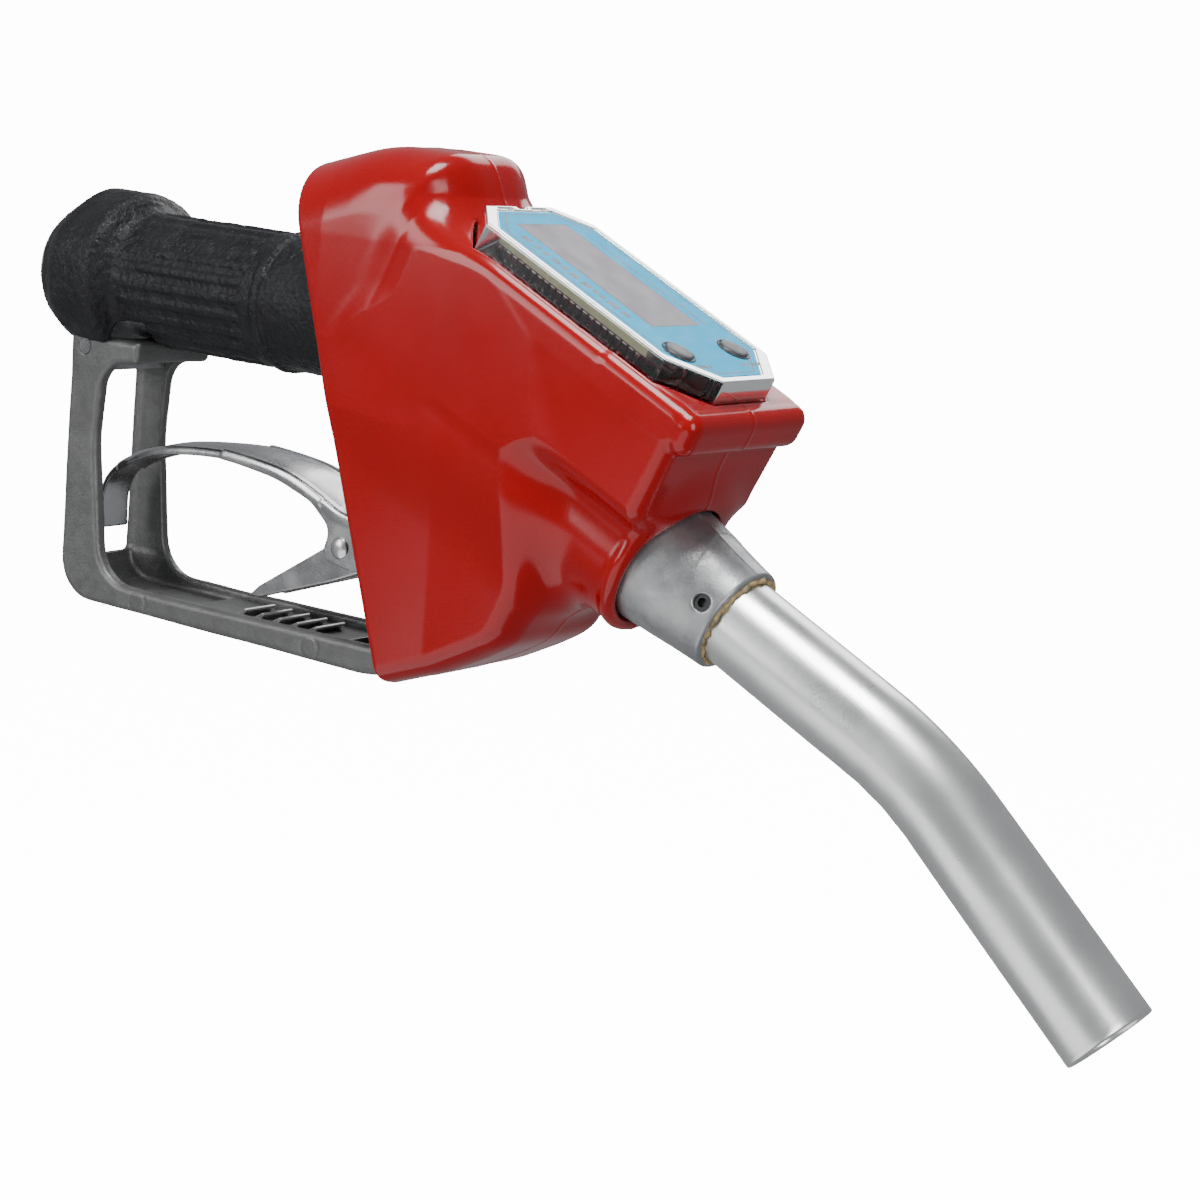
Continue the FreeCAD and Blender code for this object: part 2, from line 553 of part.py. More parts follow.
def make_electronics():
    holes = [cylinder(1, 6, (x, y, 44), "z") for x, y in SCREW_PLACES]
    node("circuit_board", tilted(cut(plate(octagon(4), 1.6, "XY_Plane", 47.65), *holes)))
    frame = plate(octagon(2.2), 2.8, "XY_Plane", 51.8)
    cut_out = block((-111, -13, 51), (-57, 13, 55))
    front_room = block((-50.7, -25, 51), (-28, 25, 55))
    node("display_frame", tilted(cut(frame, cut_out, front_room)))
    node("lcd_panel", tilted(block((-110.8, -12.8, 52), (-57.2, 12.8, 54.9))))
    headers = []
    for side in (-1, 1):
        rail = block((-106, 18.6 * side - 1.2, 49.3), (-50, 18.6 * side + 1.2, 51.7))
        start = 19.7 if side > 0 else -20.7
        pins = [cylinder(0.32, 1.0, (-104 + PIN_PITCH * step, start, 50.4), "y") for step in range(21)]
        headers.append(fuse(rail, *pins))
    node("pin_headers", tilted(group(*headers)))
    cells = []
    for y in (-5.6, 5.6):
        can = cylinder(5.25, 43, (-113.5, y, 42.3))
        tip = cylinder(1.9, 1, (-70.5, y, 42.3))
        cells.append(fuse(can, tip))
    node("batteries", tilted(group(*cells)))
    clips = [block((x, -11, 37.2), (x + 0.5, 11, 46.8)) for x in (-114.3, -69.3)]
    node("battery_clips", tilted(group(*clips)))
    switches = [block((-48.5, y - 2.5, 49.3), (-42.5, y + 2.5, 51.2)) for y in BUTTONS.values()]
    node("button_switches", tilted(group(*switches)))


def make_buttons():
    for name, y in BUTTONS.items():
        cap = cylinder("button_radius", 4.2, ("button_x", y, 52.8), "z")
        crown = cone("button_radius", "button_radius - 0.6", 0.35, ("button_x", y, 57.0), "z")
        foot = cylinder("button_radius + 0.7", 0.8, ("button_x", y, 52.6), "z")
        node(name, tilted(fuse(cap, crown, foot)))


def make_housing_screws():
    screws = []
    for x, y in SCREW_PLACES:
        screws.append(fuse(cylinder(1, 6.8, (x, y, 42.5), "z"), cylinder(1.7, 1.4, (x, y, 49.25), "z")))
    node("board_screws", tilted(group(*screws)))


# ---------------------------------------------------------------- spout

def make_adapter():
    outside = fuse(cone(18.7, 17.3, 12.5, (-29.5, 0, 0)), cone(17.3, 15.8, 12, (-17, 0, 0)),
                   cone(15.8, 15.3, 5, (-5, 0, 0)), cylinder("adapter_spigot", 10.5, (-40, 0, 0)))
    socket = cylinder("spout_radius", "spout_socket", ("-spout_socket", 0, 0))
    bore = cylinder(10.5, 24, (-40.5, 0, 0))
    groove = tube(14.5, 12, 1.9, (-12.9, 0, 0))
    screw_hole = turned(cylinder(2.5, 10, (-5, 0, 12), "z"), 72)
    node("spout_adapter", tilted(cut(outside, socket, bore, groove, screw_hole)))
    node("spout_oring", tilted(ring("spout_radius + 0.9", 0.88, (-12, 0, 0))))
    socket_point = turned(cylinder(1.3, 2.2, (-5, 0, 13.6), "z"), 72)
    screw = turned(cylinder(2.5, 2.4, (-5, 0, "spout_radius + 0.02"), "z"), 72)
    node("spout_set_screw", tilted(cut(screw, socket_point)))


def spout_path(offset, start, end):
    """Centre line of the bent spout, moved down by offset, as lines and one arc."""
    bend = math.radians(SIZES["spout_bend"])
    radius = SIZES["spout_bend_radius"] - offset
    corner = Vector(SIZES["spout_straight"], 0, -offset)
    centre = Vector(SIZES["spout_straight"], 0, -SIZES["spout_bend_radius"])
    middle = centre + Vector(math.sin(bend / 2), 0, math.cos(bend / 2)) * radius
    bend_end = centre + Vector(math.sin(bend), 0, math.cos(bend)) * radius
    tip = bend_end + Vector(math.cos(bend), 0, -math.sin(bend)) * end
    return Part.Wire([Part.LineSegment(Vector(start, 0, -offset), corner).toShape(),
                      Part.Arc(corner, middle, bend_end).toShape(),
                      Part.LineSegment(bend_end, tip).toShape()])


def bent_rod(radius, offset, start, end):
    """A round rod along the spout's path."""
    path = spout_path(offset, start, end)
    section = Part.Wire(Part.makeCircle(radius, Vector(start, 0, -offset), Vector(1, 0, 0)))
    rod = doc.addObject("Part::Feature", "BentRod")
    rod.Shape = path.makePipeShell([section], True, False)
    return rod


def make_spout():
    start = -SIZES["spout_socket"]
    bore = SIZES["spout_radius"] - SIZES["spout_wall"]
    outer = bent_rod(SIZES["spout_radius"], 0, start, SIZES["spout_tip"])
    inner = bent_rod(bore, 0, start, SIZES["spout_tip"])
    node("spout_tube", tilted(cut(outer, inner)))
    outer_tube = bent_rod(1.6, bore - 2, -16, 50)
    inner_tube = bent_rod(1.0, bore - 2, -16, 50)
    node("sensing_tube", tilted(cut(outer_tube, inner_tube)))


def make_check_valve():
    node("check_valve_seat", tilted(tube(10.48, 6, 3, (-39, 0, 0))))
    disc = cylinder(7.6, 2, (-35.9, 0, 0))
    stem = cylinder(2, 12.5, (-35, 0, 0))
    node("check_valve_poppet", tilted(fuse(disc, stem)))
    rim = tube(10.48, 8.8, 3, (-26, 0, 0))
    hub = cylinder(3.4, 3, (-26, 0, 0))
    spokes = [turned(block((-26, -0.6, 2.5), (-23, 0.6, 9.5)), 120 * step) for step in range(3)]
    bore = cylinder("2 + running_gap", 3, (-26, 0, 0))
    node("check_valve_guide", tilted(cut(fuse(rim, hub, *spokes), bore)))
    node("check_valve_spring", tilted(coil(0.35, 3.4, 6.9, 3.5, (-33.5, 0, 0), "x")))


# ---------------------------------------------------------------- splash cover

def cover_solid(inset):
    """The cover's outer form, or its inner room where inset is the wall."""
    half = SIZES["cover_half_width"] - inset
    box_half = SIZES["cover_box_half_width"] - inset
    reach = 20 if inset else 0
    rear_block = [(114.5 + inset - reach, 36), (119 - reach, 49 - inset, 10), (148, 52 - inset, 30),
                  (172, 40 - inset, 16), (180, 26), (200 - inset, 0), (200 - inset, -50), (190 - inset, -80),
                  (158, -103 + inset, 10), (154 + inset - reach, -103 + inset), (130 + inset - reach, -14)]
    belly = [(154.5, -103 + inset), (160, -102.3 + inset, 20), (181, -93 + inset, 40), (200 - inset, -80, 16),
             (207 - inset, -56), (180, -40), (148, -60)]
    box_side = [(-118, 18 + inset), (-26 - inset, 18 + inset, 1), (-26 - inset, 40), (-118, 40)]
    hump = plate(rear_block, 2 * half)
    low = plate(belly, 2 * (half - 3))
    rounding = fuse(cylinder(half, 60, (144, 0, 52 - inset - half - 6), "z"),
                    block((100, -half, -120), (260, half, 24)))
    main = fuse(common(hump, rounding), low)
    box = plate(box_side, 2 * box_half)
    lip = block((-130 + inset, -half, 37.5 + (inset > 0)), (-23 - inset, half, 50 - inset))
    pipe = cylinder(23 - inset, 92, (-118, 0, 0))
    tilted_parts = [box, lip, pipe]
    if inset:
        tilted_parts.append(block((-118, -12.4, 0), (-31, 12.4, 25)))
    return fuse(main, tilted(fuse(*tilted_parts)))


def make_cover():
    outer = cover_solid(0)
    inner = cover_solid(SIZES["cover_wall"])
    window = plate(octagon(-0.3), 40, "XY_Plane", 34)
    front_mouth = cylinder(19.6, 20, (-36, 0, 0))
    node("splash_cover", cut(outer, inner, tilted(fuse(window, front_mouth))))


# ---------------------------------------------------------------- assembly

make_nozzle_body()
make_inlet()
make_grip()
make_guard()
make_rack()
make_lever()
make_latch()
make_main_valve()
make_packing()
make_plunger()
make_diaphragm()
make_meter_body()
make_turbine()
make_housing()
make_tray()
make_electronics()
make_buttons()
make_housing_screws()
make_adapter()
make_spout()
make_check_valve()
make_cover()
doc.recompute()

for piece in doc.Objects:
    if "Invalid" in piece.State or "Error" in piece.State:
        raise RuntimeError(f"{piece.Name} ({piece.Label}) failed: {piece.State}")

os.makedirs("parts", exist_ok=True)
for name, piece in nodes.items():
    shape = piece.Shape
    if shape.isNull() or not shape.isValid() or not shape.Solids:
        raise RuntimeError(f"{name} has no valid solid")
    shape.exportStep(f"parts/{name}.step")
    print(f"{name}: {len(shape.Solids)} solid(s), {shape.Volume:.0f} mm3")
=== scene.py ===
"""Looks of the fuel nozzle: detailed pieces, materials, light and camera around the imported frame.

Sizes are in millimetres until a mesh is made from them, and in metres in the mesh. Most detailed pieces are
the zero surface of a distance field on a regular grid, less than 0 inside the piece.
"""
import json
import math

import bmesh
import bpy
import numpy as np
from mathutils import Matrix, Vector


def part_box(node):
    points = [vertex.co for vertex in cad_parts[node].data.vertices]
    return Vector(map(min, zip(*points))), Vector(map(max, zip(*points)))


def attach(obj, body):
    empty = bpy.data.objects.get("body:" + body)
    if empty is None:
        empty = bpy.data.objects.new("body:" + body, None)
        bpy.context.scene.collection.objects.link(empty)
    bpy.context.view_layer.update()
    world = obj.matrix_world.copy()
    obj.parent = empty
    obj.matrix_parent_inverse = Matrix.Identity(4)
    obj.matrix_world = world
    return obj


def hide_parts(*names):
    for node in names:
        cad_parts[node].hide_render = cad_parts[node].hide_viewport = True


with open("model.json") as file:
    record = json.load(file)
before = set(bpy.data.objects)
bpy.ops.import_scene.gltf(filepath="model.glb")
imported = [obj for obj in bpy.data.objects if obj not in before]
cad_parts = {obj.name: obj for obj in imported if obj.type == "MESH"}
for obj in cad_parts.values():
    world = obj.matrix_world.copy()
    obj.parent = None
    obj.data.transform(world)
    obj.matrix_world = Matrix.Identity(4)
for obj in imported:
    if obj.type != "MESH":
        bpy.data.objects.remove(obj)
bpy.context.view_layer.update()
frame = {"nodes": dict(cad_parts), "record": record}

import openvdb
from mathutils import Matrix, Vector

MM = 0.001

GRID_STEPS = {"cover": (0.5, 0.9), "grip": (0.42, 0.8), "guard": (0.42, 0.8), "lever": (0.36, 0.7),
              "latch": (0.3, 0.5), "adapter": (0.34, 0.6), "sealant": (0.34, 0.34), "housing": (0.32, 0.5)}

# The outflow frame: origin at the front face of the spout adapter, tilted below the handle.
FLOW_X, FLOW_Z = 257.0, -65.2
TILT = math.radians(24.8)
COS, SIN = math.cos(TILT), math.sin(TILT)
FLOW = Matrix.Translation((FLOW_X * MM, 0, FLOW_Z * MM)) @ Matrix.Rotation(TILT, 4, "Y")

# Axis of the lever's pivot, from the frame, and of the latch's rivet.
pivot_low, pivot_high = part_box("lever_pivot_pin")
PIVOT_X = (pivot_low.x + pivot_high.x) / 2 / MM
PIVOT_Z = (pivot_low.z + pivot_high.z) / 2 / MM
RIVET_X, RIVET_Z = 125.2, -67.8


# ---------------------------------------------------------------- shapes as distance fields

class Space:
    """A regular grid in millimetres; x, y and z are open arrays that broadcast against each other."""

    def __init__(self, low, high, grid):
        self.low = np.array(low, np.float32)
        self.step = GRID_STEPS[grid][0]
        self.shape = [int(math.ceil((b - a) / self.step)) + 1 for a, b in zip(low, high)]
        axes = [self.low[i] + self.step * np.arange(self.shape[i], dtype=np.float32) for i in range(3)]
        self.x = axes[0][:, None, None]
        self.y = axes[1][None, :, None]
        self.z = axes[2][None, None, :]

    def axes(self):
        return self.x, self.y, self.z

    def tilted(self):
        """The same points in the outflow frame."""
        dx = self.x - FLOW_X
        dz = self.z - FLOW_Z
        return dx * COS - dz * SIN, self.y, dx * SIN + dz * COS


def distance(a, b):
    return np.sqrt(a ** 2 + b ** 2)


def union(first, second, blend=0.0):
    """What lies in either, with the joint between them filled over about blend."""
    if blend <= 0:
        return np.minimum(first, second)
    h = np.maximum(blend - np.abs(first - second), 0) / blend
    return np.minimum(first, second) - h * h * blend / 4


def keep(first, second, blend=0.0):
    """What lies in both."""
    return -union(-first, -second, blend)


def carve(solid, tool, blend=0.0):
    """The solid without the tool."""
    return keep(solid, -tool, blend)


def rounded(corners, steps=8):
    """A closed outline with its corners rounded. A corner is (u, v) or (u, v, radius)."""
    points = []
    for index, (u, v, *radius) in enumerate(corners):
        if not radius:
            points.append((u, v))
            continue
        here = Vector((u, v))
        back = (Vector(corners[index - 1][:2]) - here).normalized()
        ahead = (Vector(corners[(index + 1) % len(corners)][:2]) - here).normalized()
        half = back.angle(ahead) / 2
        centre = here + (back + ahead).normalized() * (radius[0] / math.sin(half))
        first = here + back * (radius[0] / math.tan(half)) - centre
        last = here + ahead * (radius[0] / math.tan(half)) - centre
        start = math.atan2(first.y, first.x)
        turn = math.atan2(first.x * last.y - first.y * last.x, first.dot(last))
        for step in range(steps + 1):
            angle = start + turn * step / steps
            points.append((centre.x + radius[0] * math.cos(angle), centre.y + radius[0] * math.sin(angle)))
    return points


def smooth_line(points, rounds=3):
    """Cut the corners of an open line again and again."""
    for _ in range(rounds):
        finer = [points[0]]
        for (au, av), (bu, bv) in zip(points, points[1:]):
            finer.append((0.75 * au + 0.25 * bu, 0.75 * av + 0.25 * bv))
            finer.append((0.25 * au + 0.75 * bu, 0.25 * av + 0.75 * bv))
        points = finer + [points[-1]]
    return points


def inside(u, v, points):
    """Signed distance to a closed outline, less than 0 inside it."""
    best = np.full(np.broadcast(u, v).shape, 1e9, np.float32)
    sign = np.ones_like(best)
    for (au, av), (bu, bv) in zip(points, points[1:] + points[:1]):
        eu, ev = bu - au, bv - av
        length = eu * eu + ev * ev
        if length < 1e-9:
            continue
        t = np.clip(((u - au) * eu + (v - av) * ev) / length, 0, 1)
        best = np.minimum(best, (u - au - t * eu) ** 2 + (v - av - t * ev) ** 2)
        crosses = ((av > v) != (bv > v)) & (u < (bu - au) * (v - av) / (bv - av + 1e-12) + au)
        sign = np.where(crosses, -sign, sign)
    return sign * np.sqrt(best)


def along(u, v, points):
    """Distance to an open line of points."""
    best = np.full(np.broadcast(u, v).shape, 1e9, np.float32)
    for (au, av), (bu, bv) in zip(points, points[1:]):
        eu, ev = bu - au, bv - av
        t = np.clip(((u - au) * eu + (v - av) * ev) / (eu * eu + ev * ev), 0, 1)
        best = np.minimum(best, (u - au - t * eu) ** 2 + (v - av - t * ev) ** 2)
    return np.sqrt(best)


def slab(flat, across, half, radius=0.0):
    """An outline's field given thickness: half to each side of across = 0, with rounded edges."""
    a = flat + radius
    b = np.abs(across) - half + radius
    return np.minimum(np.maximum(a, b), 0) + np.sqrt(np.maximum(a, 0) ** 2 + np.maximum(b, 0) ** 2) - radius


def brick(x, y, z, low, high, radius=0.0):
    """A box between two corners, with rounded edges."""
    parts = []
    for value, a, b in zip((x, y, z), low, high):
        parts.append(np.abs(value - (a + b) / 2) - (b - a) / 2 + radius)
    outside = np.sqrt(sum(np.maximum(part, 0) ** 2 for part in parts))
    return np.minimum(np.maximum(np.maximum(parts[0], parts[1]), parts[2]), 0) + outside - radius


def disc(x, radial, start, end, radius, edge=0.0):
    """A cylinder from start to end along x, with rounded rims."""
    return slab(radial - radius, x - (start + end) / 2, (end - start) / 2, edge)


def wobble(space, size, seed):
    """Smooth noise from -1 to 1 on a grid, with lumps about size mm across."""
    rng = np.random.default_rng(seed)
    cells = [int(math.ceil(n * space.step / size)) + 3 for n in space.shape]
    result = rng.uniform(-1, 1, cells).astype(np.float32)
    for axis, n in enumerate(space.shape):
        place = np.arange(n, dtype=np.float32) * space.step / size
        first = place.astype(int)
        t = place - first
        t = t * t * (3 - 2 * t)
        t = t.reshape([-1 if i == axis else 1 for i in range(3)])
        result = np.take(result, first, axis) * (1 - t) + np.take(result, first + 1, axis) * t
    return result


# ---------------------------------------------------------------- meshes

def add_piece(name, mesh, smooth=True):
    piece = bpy.data.objects.new(name, mesh)
    bpy.context.scene.collection.objects.link(piece)
    if smooth:
        mesh.shade_smooth()
    return piece


def surface(name, field, space, place=Matrix()):
    """The zero surface of a field as a piece."""
    band = 4 * space.step
    grid = openvdb.FloatGrid(band)
    grid.copyFromArray(np.clip(np.ascontiguousarray(field, np.float32), -band, band))
    points, quads = grid.convertToQuads(0.0)
    points = (points * space.step + space.low) * MM
    mesh = bpy.data.meshes.new(name)
    mesh.vertices.add(len(points))
    mesh.vertices.foreach_set("co", points.astype(np.float32).ravel())
    mesh.loops.add(quads.size)
    mesh.loops.foreach_set("vertex_index", quads[:, ::-1].astype(np.int32).ravel())
    mesh.polygons.add(len(quads))
    mesh.polygons.foreach_set("loop_start", np.arange(0, quads.size, 4, dtype=np.int32))
    mesh.update()
    mesh.validate()
    mesh.transform(place)
    return add_piece(name, mesh)


def closed_mesh(name, points, faces, place, smooth=False, bevel=0.0):
    """A piece from points: doubled points are merged, faces turned outwards and sharp edges bevelled."""
    mesh = bpy.data.meshes.new(name)
    mesh.from_pydata([(x * MM, y * MM, z * MM) for x, y, z in points], [], faces)
    work = bmesh.new()
    work.from_mesh(mesh)
    bmesh.ops.remove_doubles(work, verts=work.verts, dist=1e-6)
    bmesh.ops.dissolve_degenerate(work, edges=work.edges, dist=1e-7)
    bmesh.ops.recalc_face_normals(work, faces=work.faces)
    work.to_mesh(mesh)
    work.free()
    mesh.transform(place)
    piece = add_piece(name, mesh, smooth)
    if bevel:
        rounding = piece.modifiers.new("Bevel", "BEVEL")
        rounding.width = bevel * MM
        rounding.segments = 2
        rounding.limit_method = "ANGLE"
        rounding.angle_limit = math.radians(35)
    return piece


def tube_faces(rings, turns):
    """Faces of a skin that is closed both ways: rings of points, each with as many points as turns."""
    faces = []
    for index in range(rings):
        here, ahead = index * turns, (index + 1) % rings * turns
        for step in range(turns):
            following = (step + 1) % turns
            faces.append((here + step, here + following, ahead + following, ahead + step))
    return faces


def lathe(name, profile, place, turns=48):
    """A closed profile of (x, radius) turned about the x axis."""
    points = []
    for step in range(turns):
        angle = 2 * math.pi * step / turns
        points += [(x, r * math.cos(angle), r * math.sin(angle)) for x, r in profile]
    return closed_mesh(name, points, tube_faces(turns, len(profile)), place, smooth=True)


def boxes(name, corners, place, bevel=0.0):
    """Boxes in one mesh; each is (low corner, high corner)."""
    points = []
    faces = []
    for low, high in corners:
        start = len(points)
        for x in (low[0], high[0]):
            for y in (low[1], high[1]):
                points += [(x, y, low[2]), (x, y, high[2])]
        for face in ((0, 1, 3, 2), (4, 6, 7, 5), (0, 4, 5, 1), (2, 3, 7, 6), (0, 2, 6, 4), (1, 5, 7, 3)):
            faces.append([start + corner for corner in face])
    return closed_mesh(name, points, faces, place, bevel=bevel)


def prism(name, outline, low, high, place, bevel=0.0):
    """An outline in the xy plane given height."""
    count = len(outline)
    points = [(x, y, level) for level in (low, high) for x, y in outline]
    faces = [list(range(count))[::-1], list(range(count, 2 * count))]
    for index in range(count):
        following = (index + 1) % count
        faces.append([index, following, count + following, count + index])
    return closed_mesh(name, points, faces, place, bevel=bevel)


def ribbon(name, outer, inner, low, high, place):
    """The flat band between two outlines with as many corners, given height."""
    count = len(outer)
    points = [(x, y, level) for level in (low, high) for x, y in outer + inner]
    faces = []
    for index in range(count):
        following = (index + 1) % count
        a, b, c, d = index, following, count + following, count + index
        above = 2 * count
        faces += [(a, d, c, b), (above + a, above + b, above + c, above + d),
                  (a, b, above + b, above + a), (c, d, above + d, above + c)]
    return closed_mesh(name, points, faces, place)


def dress(piece, body, slot, look, *replaced):
    """Give a finished piece its material and body, and hide the CAD nodes it stands for. The slot is not
    used.
    """
    piece.data.materials.append(look)
    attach(piece, body)
    if replaced:
        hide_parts(*replaced)


# ---------------------------------------------------------------- splash cover

COVER_WALL = 2.3
COVER_HALF = 28.4                      # half the width of its flat sides
COVER_LIMIT = 28.45                    # blends may bulge a side this far and no further
COVER_EDGE = 4.4                       # radius of the edges of the meter's box and of its lip
REAR_X, REAR_SLOPE = 123.4, 0.305      # the rear edge is the plane x + slope * z = REAR_X
PIPE_RADIUS = 22.2
RIM_X, RIM_RADIUS, RIM_HALF = -28.3, 20.6, 1.6
OUTFLOW_HOLE = 19.0                    # radius of the hole that the spout adapter comes through
DISPLAY_GAP = 0.25                     # between the display housing and the hole for it
HUMP_TAPER = 2.0                       # how much each side draws in downwards, and again forwards
LOW_EDGE, TOP_EDGE = 5, 19             # radius of the hump's edges, low down and at its top
SEAM_HALF, SEAM_HEIGHT = 0.6, 0.22     # the moulding seam along the middle


def hump_field(space):
    """The cover's rear: a hump over the valve cap, narrower below and in front, and the belly under it."""
    x, y, z = space.axes()
    side = rounded([(70, 30), (110, 42.5, 16), (136, 50.0, 50), (160, 49.4, 10), (171, 35), (195, 0),
                    (200, -40), (202, -66, 20), (195, -81.5, 14), (172, -93.5, 40), (154, -100.6, 20),
                    (146, -102.4), (70, -102.4)])
    below = np.clip((-z - 5) / 95, 0, 1)
    forward = np.clip((x - 125) / 45, 0, 1)
    narrow = np.abs(y) + HUMP_TAPER * below + HUMP_TAPER * forward
    edge = LOW_EDGE + (TOP_EDGE - LOW_EDGE) * np.clip((z + 5) / 30, 0, 1)
    hump = slab(inside(x, z, side), narrow, COVER_HALF, edge)
    plan = rounded([(60, -34), (168, -34, 33), (168, 34, 33), (60, 34)])
    high = np.clip((z - 24) / 14, 0, 1)
    hump = hump * (1 - high) + keep(hump, inside(x, y, plan), 8) * high
    side = rounded([(120, -102), (152, -101.2, 16), (174, -93.4, 40), (186, -87.4, 40), (197, -80.5, 12),
                    (205, -68, 8), (190, -50), (120, -50)])
    belly = slab(inside(x, z, side), y, 21, 5)
    return union(hump, belly, 4)


def cover_field(space):
    """The cover's outer form: the hump, the pipe round the outflow, the meter's box and lip, and the rim."""
    fx, fy, fz = space.tilted()
    radial = distance(fy, fz)
    pipe = disc(fx, radial, -130, -27.5, PIPE_RADIUS, 2)
    lean = 0.9 * np.clip((40 - fz) / 26, 0, 1)
    fade = 7 * np.clip((-98 - fx) / 34, 0, 1) ** 2
    box = brick(fx, np.abs(fy) + lean + fade, fz + fade, (-134, -40, 14.5), (-26.5, COVER_HALF, 50),
                COVER_EDGE)
    lip = brick(fx, fy, fz, (-60, -COVER_HALF, 37.5), (-22.6, COVER_HALF, 50.0), COVER_EDGE)
    rim = distance(fx - RIM_X, radial - RIM_RADIUS) - RIM_HALF
    shell = union(union(hump_field(space), pipe, 16), box, 12)
    shell = union(union(shell, lip, 1.0), rim, 2.5)
    return np.maximum(shell, np.abs(space.y) - COVER_LIMIT)


def make_cover():
    """The shell, open at its rear, with holes for the spout adapter and the display."""
    space = Space((106, -29.5, -107), (282, 29.5, 54), "cover")
    fx, fy, fz = space.tilted()
    outer = cover_field(space) - np.maximum(0, 1 - np.abs(space.y) / SEAM_HALF) * SEAM_HEIGHT
    shell = keep(outer, -(outer + COVER_WALL), 0.5)
    behind = (REAR_X - space.x - REAR_SLOPE * space.z) / math.hypot(1, REAR_SLOPE)
    shell = keep(shell, behind, 1.0)
    shell = carve(shell, disc(fx, distance(fy, fz), -40, -10, OUTFLOW_HOLE), 1.0)
    shell = carve(shell, slab(inside(fx, fy, octagon(-DISPLAY_GAP)), fz - 60, 20), 1.2)
    piece = surface("splash_cover_skin", shell, space)
    dress(piece, "body", "cover_vinyl", vinyl_red(), "splash_cover")


# ---------------------------------------------------------------- grip

RIBS, RIB_HEIGHT, RIBS_START, RIBS_END = 24, 0.32, 36.5, 87
SLEEVE_RADIUS, SLEEVE_LIP, SLEEVE_BORE, SLEEVE_SOCKET = 20.15, 21.1, 17.2, 18.4
FLATS, FLAT_DEPTH = 6, 1.1             # of the collar


def make_grip():
    """A ribbed sleeve with a six-sided collar at its rear, a lip near its front and a pebbled skin."""
    space = Space((-0.6, -28.2, -28.2), (120, 28.2, 28.2), "grip")
    x, y, z = space.axes()
    radial = distance(y, z)
    angle = np.arctan2(y, z)
    collar_line = rounded([(0.3, -20), (0.3, 19.0, 5), (12.0, 26.3, 8), (28.5, 26.3, 5), (34.5, 19.5, 5),
                           (50, 19), (50, -20)])
    flats = FLAT_DEPTH / 2 * (1 - np.cos(FLATS * angle)) * np.clip(1 - np.abs(x - 14) / 16, 0, 1)
    collar = inside(x, radial + flats, collar_line)
    bands = np.clip(np.cos(RIBS * angle) * 2.0, -1, 1)
    ribbed = np.clip(np.minimum(x - RIBS_START, RIBS_END - x) / 1.2, 0, 1)
    sleeve = disc(x, radial - RIB_HEIGHT * bands * ribbed, 4, 119, SLEEVE_RADIUS, 1.0)
    lip = disc(x, radial, 91.5, 95, SLEEVE_LIP, 1.1)
    body = union(union(collar, sleeve, 2.5), lip, 1.0)
    pebble = wobble(space, 1.3, 3) * 0.16
    pebble = pebble + wobble(space, 2.6, 4) * 0.14
    lumps = wobble(space, 11, 5) * 0.35 * np.clip((34 - x) / 6, 0, 1)
    body = body + pebble + lumps
    body = carve(body, disc(x, radial, -5, 40, SLEEVE_SOCKET))
    body = carve(body, disc(x, radial, -5, 130, SLEEVE_BORE))
    guard_notch = brick(x, y, z, (11.5, -16.3, -40), (44, 16.3, -12), 0.5)
    body = carve(body, guard_notch, 0.6)
    piece = surface("grip_skin", body, space)
    dress(piece, "body", "grip_rubber", rubber_black(), "grip_sleeve")


# ---------------------------------------------------------------- guard and rack

GUARD_HALF, CHANNEL_HALF = 16.0, 12
GUARD_MARKS = ((48.0, -98.2), (120.2, -98.2))
MARK_RADIUS, MARK_HALF, MARK_DEPTH = 3.4, 0.35, 0.25
GUARD_PIN_X, GUARD_PIN_Z, GUARD_PIN_HOLE = 19, -22, 2.55
GUARD_SCREW_X, GUARD_SCREW_Z, GUARD_SCREW_HOLE = 182.4, -66, 1.85


def make_guard():
    """A cast channel that runs down from the collar, along under the lever and up into the cover."""
    space = Space((11.5, -16.9, -103.5), (190.5, 16.9, -17), "guard")
    x, y, z = space.axes()
    outer = rounded([(12.5, -18.5), (12.5, -102, 13), (142, -102, 60), (164, -98, 20), (189, -80, 12),
                     (189, -62, 3), (179, -62), (179, -78, 8), (162, -92.6, 20), (140, -93.2, 60),
                     (62, -94.7, 60), (30.5, -94.7, 13), (25.2, -52, 60), (27, -27, 9), (42, -25, 2),
                     (42, -18.5)])
    channel = rounded([(15.5, -10), (15.5, -98.5, 9), (142, -98.5, 60), (162, -93.5, 14), (185.5, -78, 8),
                       (185.5, -50), (80, -50)])
    solid = slab(inside(x, z, outer), y, GUARD_HALF, 1.8)
    trough = slab(inside(x, z, channel), y, CHANNEL_HALF, 1.5)
    leg_gap = brick(x, y, z, (5, -CHANNEL_HALF, -90), (28, CHANNEL_HALF, -30), 2.0)
    body = carve(carve(solid, trough, 1.2), leg_gap, 1.2)
    for mark_x, mark_z in GUARD_MARKS:
        ring = np.abs(distance(x - mark_x, z - mark_z) - MARK_RADIUS)
        groove = np.maximum(ring - MARK_HALF, np.abs(y + GUARD_HALF) - MARK_DEPTH)
        body = carve(body, groove, 0.3)
    body = body + wobble(space, 14, 11) * 0.12
    body = body + wobble(space, 1.6, 12) * 0.035
    body = carve(body, distance(x - GUARD_PIN_X, z - GUARD_PIN_Z) - GUARD_PIN_HOLE, 0.3)
    body = carve(body, distance(x - GUARD_SCREW_X, z - GUARD_SCREW_Z) - GUARD_SCREW_HOLE)
    piece = surface("guard_casting", body, space)
    dress(piece, "body", "guard_casting", cast_grey(), "hand_guard")


STRIP_START, STRIP_END, STRIP_HEIGHT = 64, 124, 1.9
FINS, FINS_START, FIN_PITCH, FIN_HALF = 5, 80, 7.2, 6.5


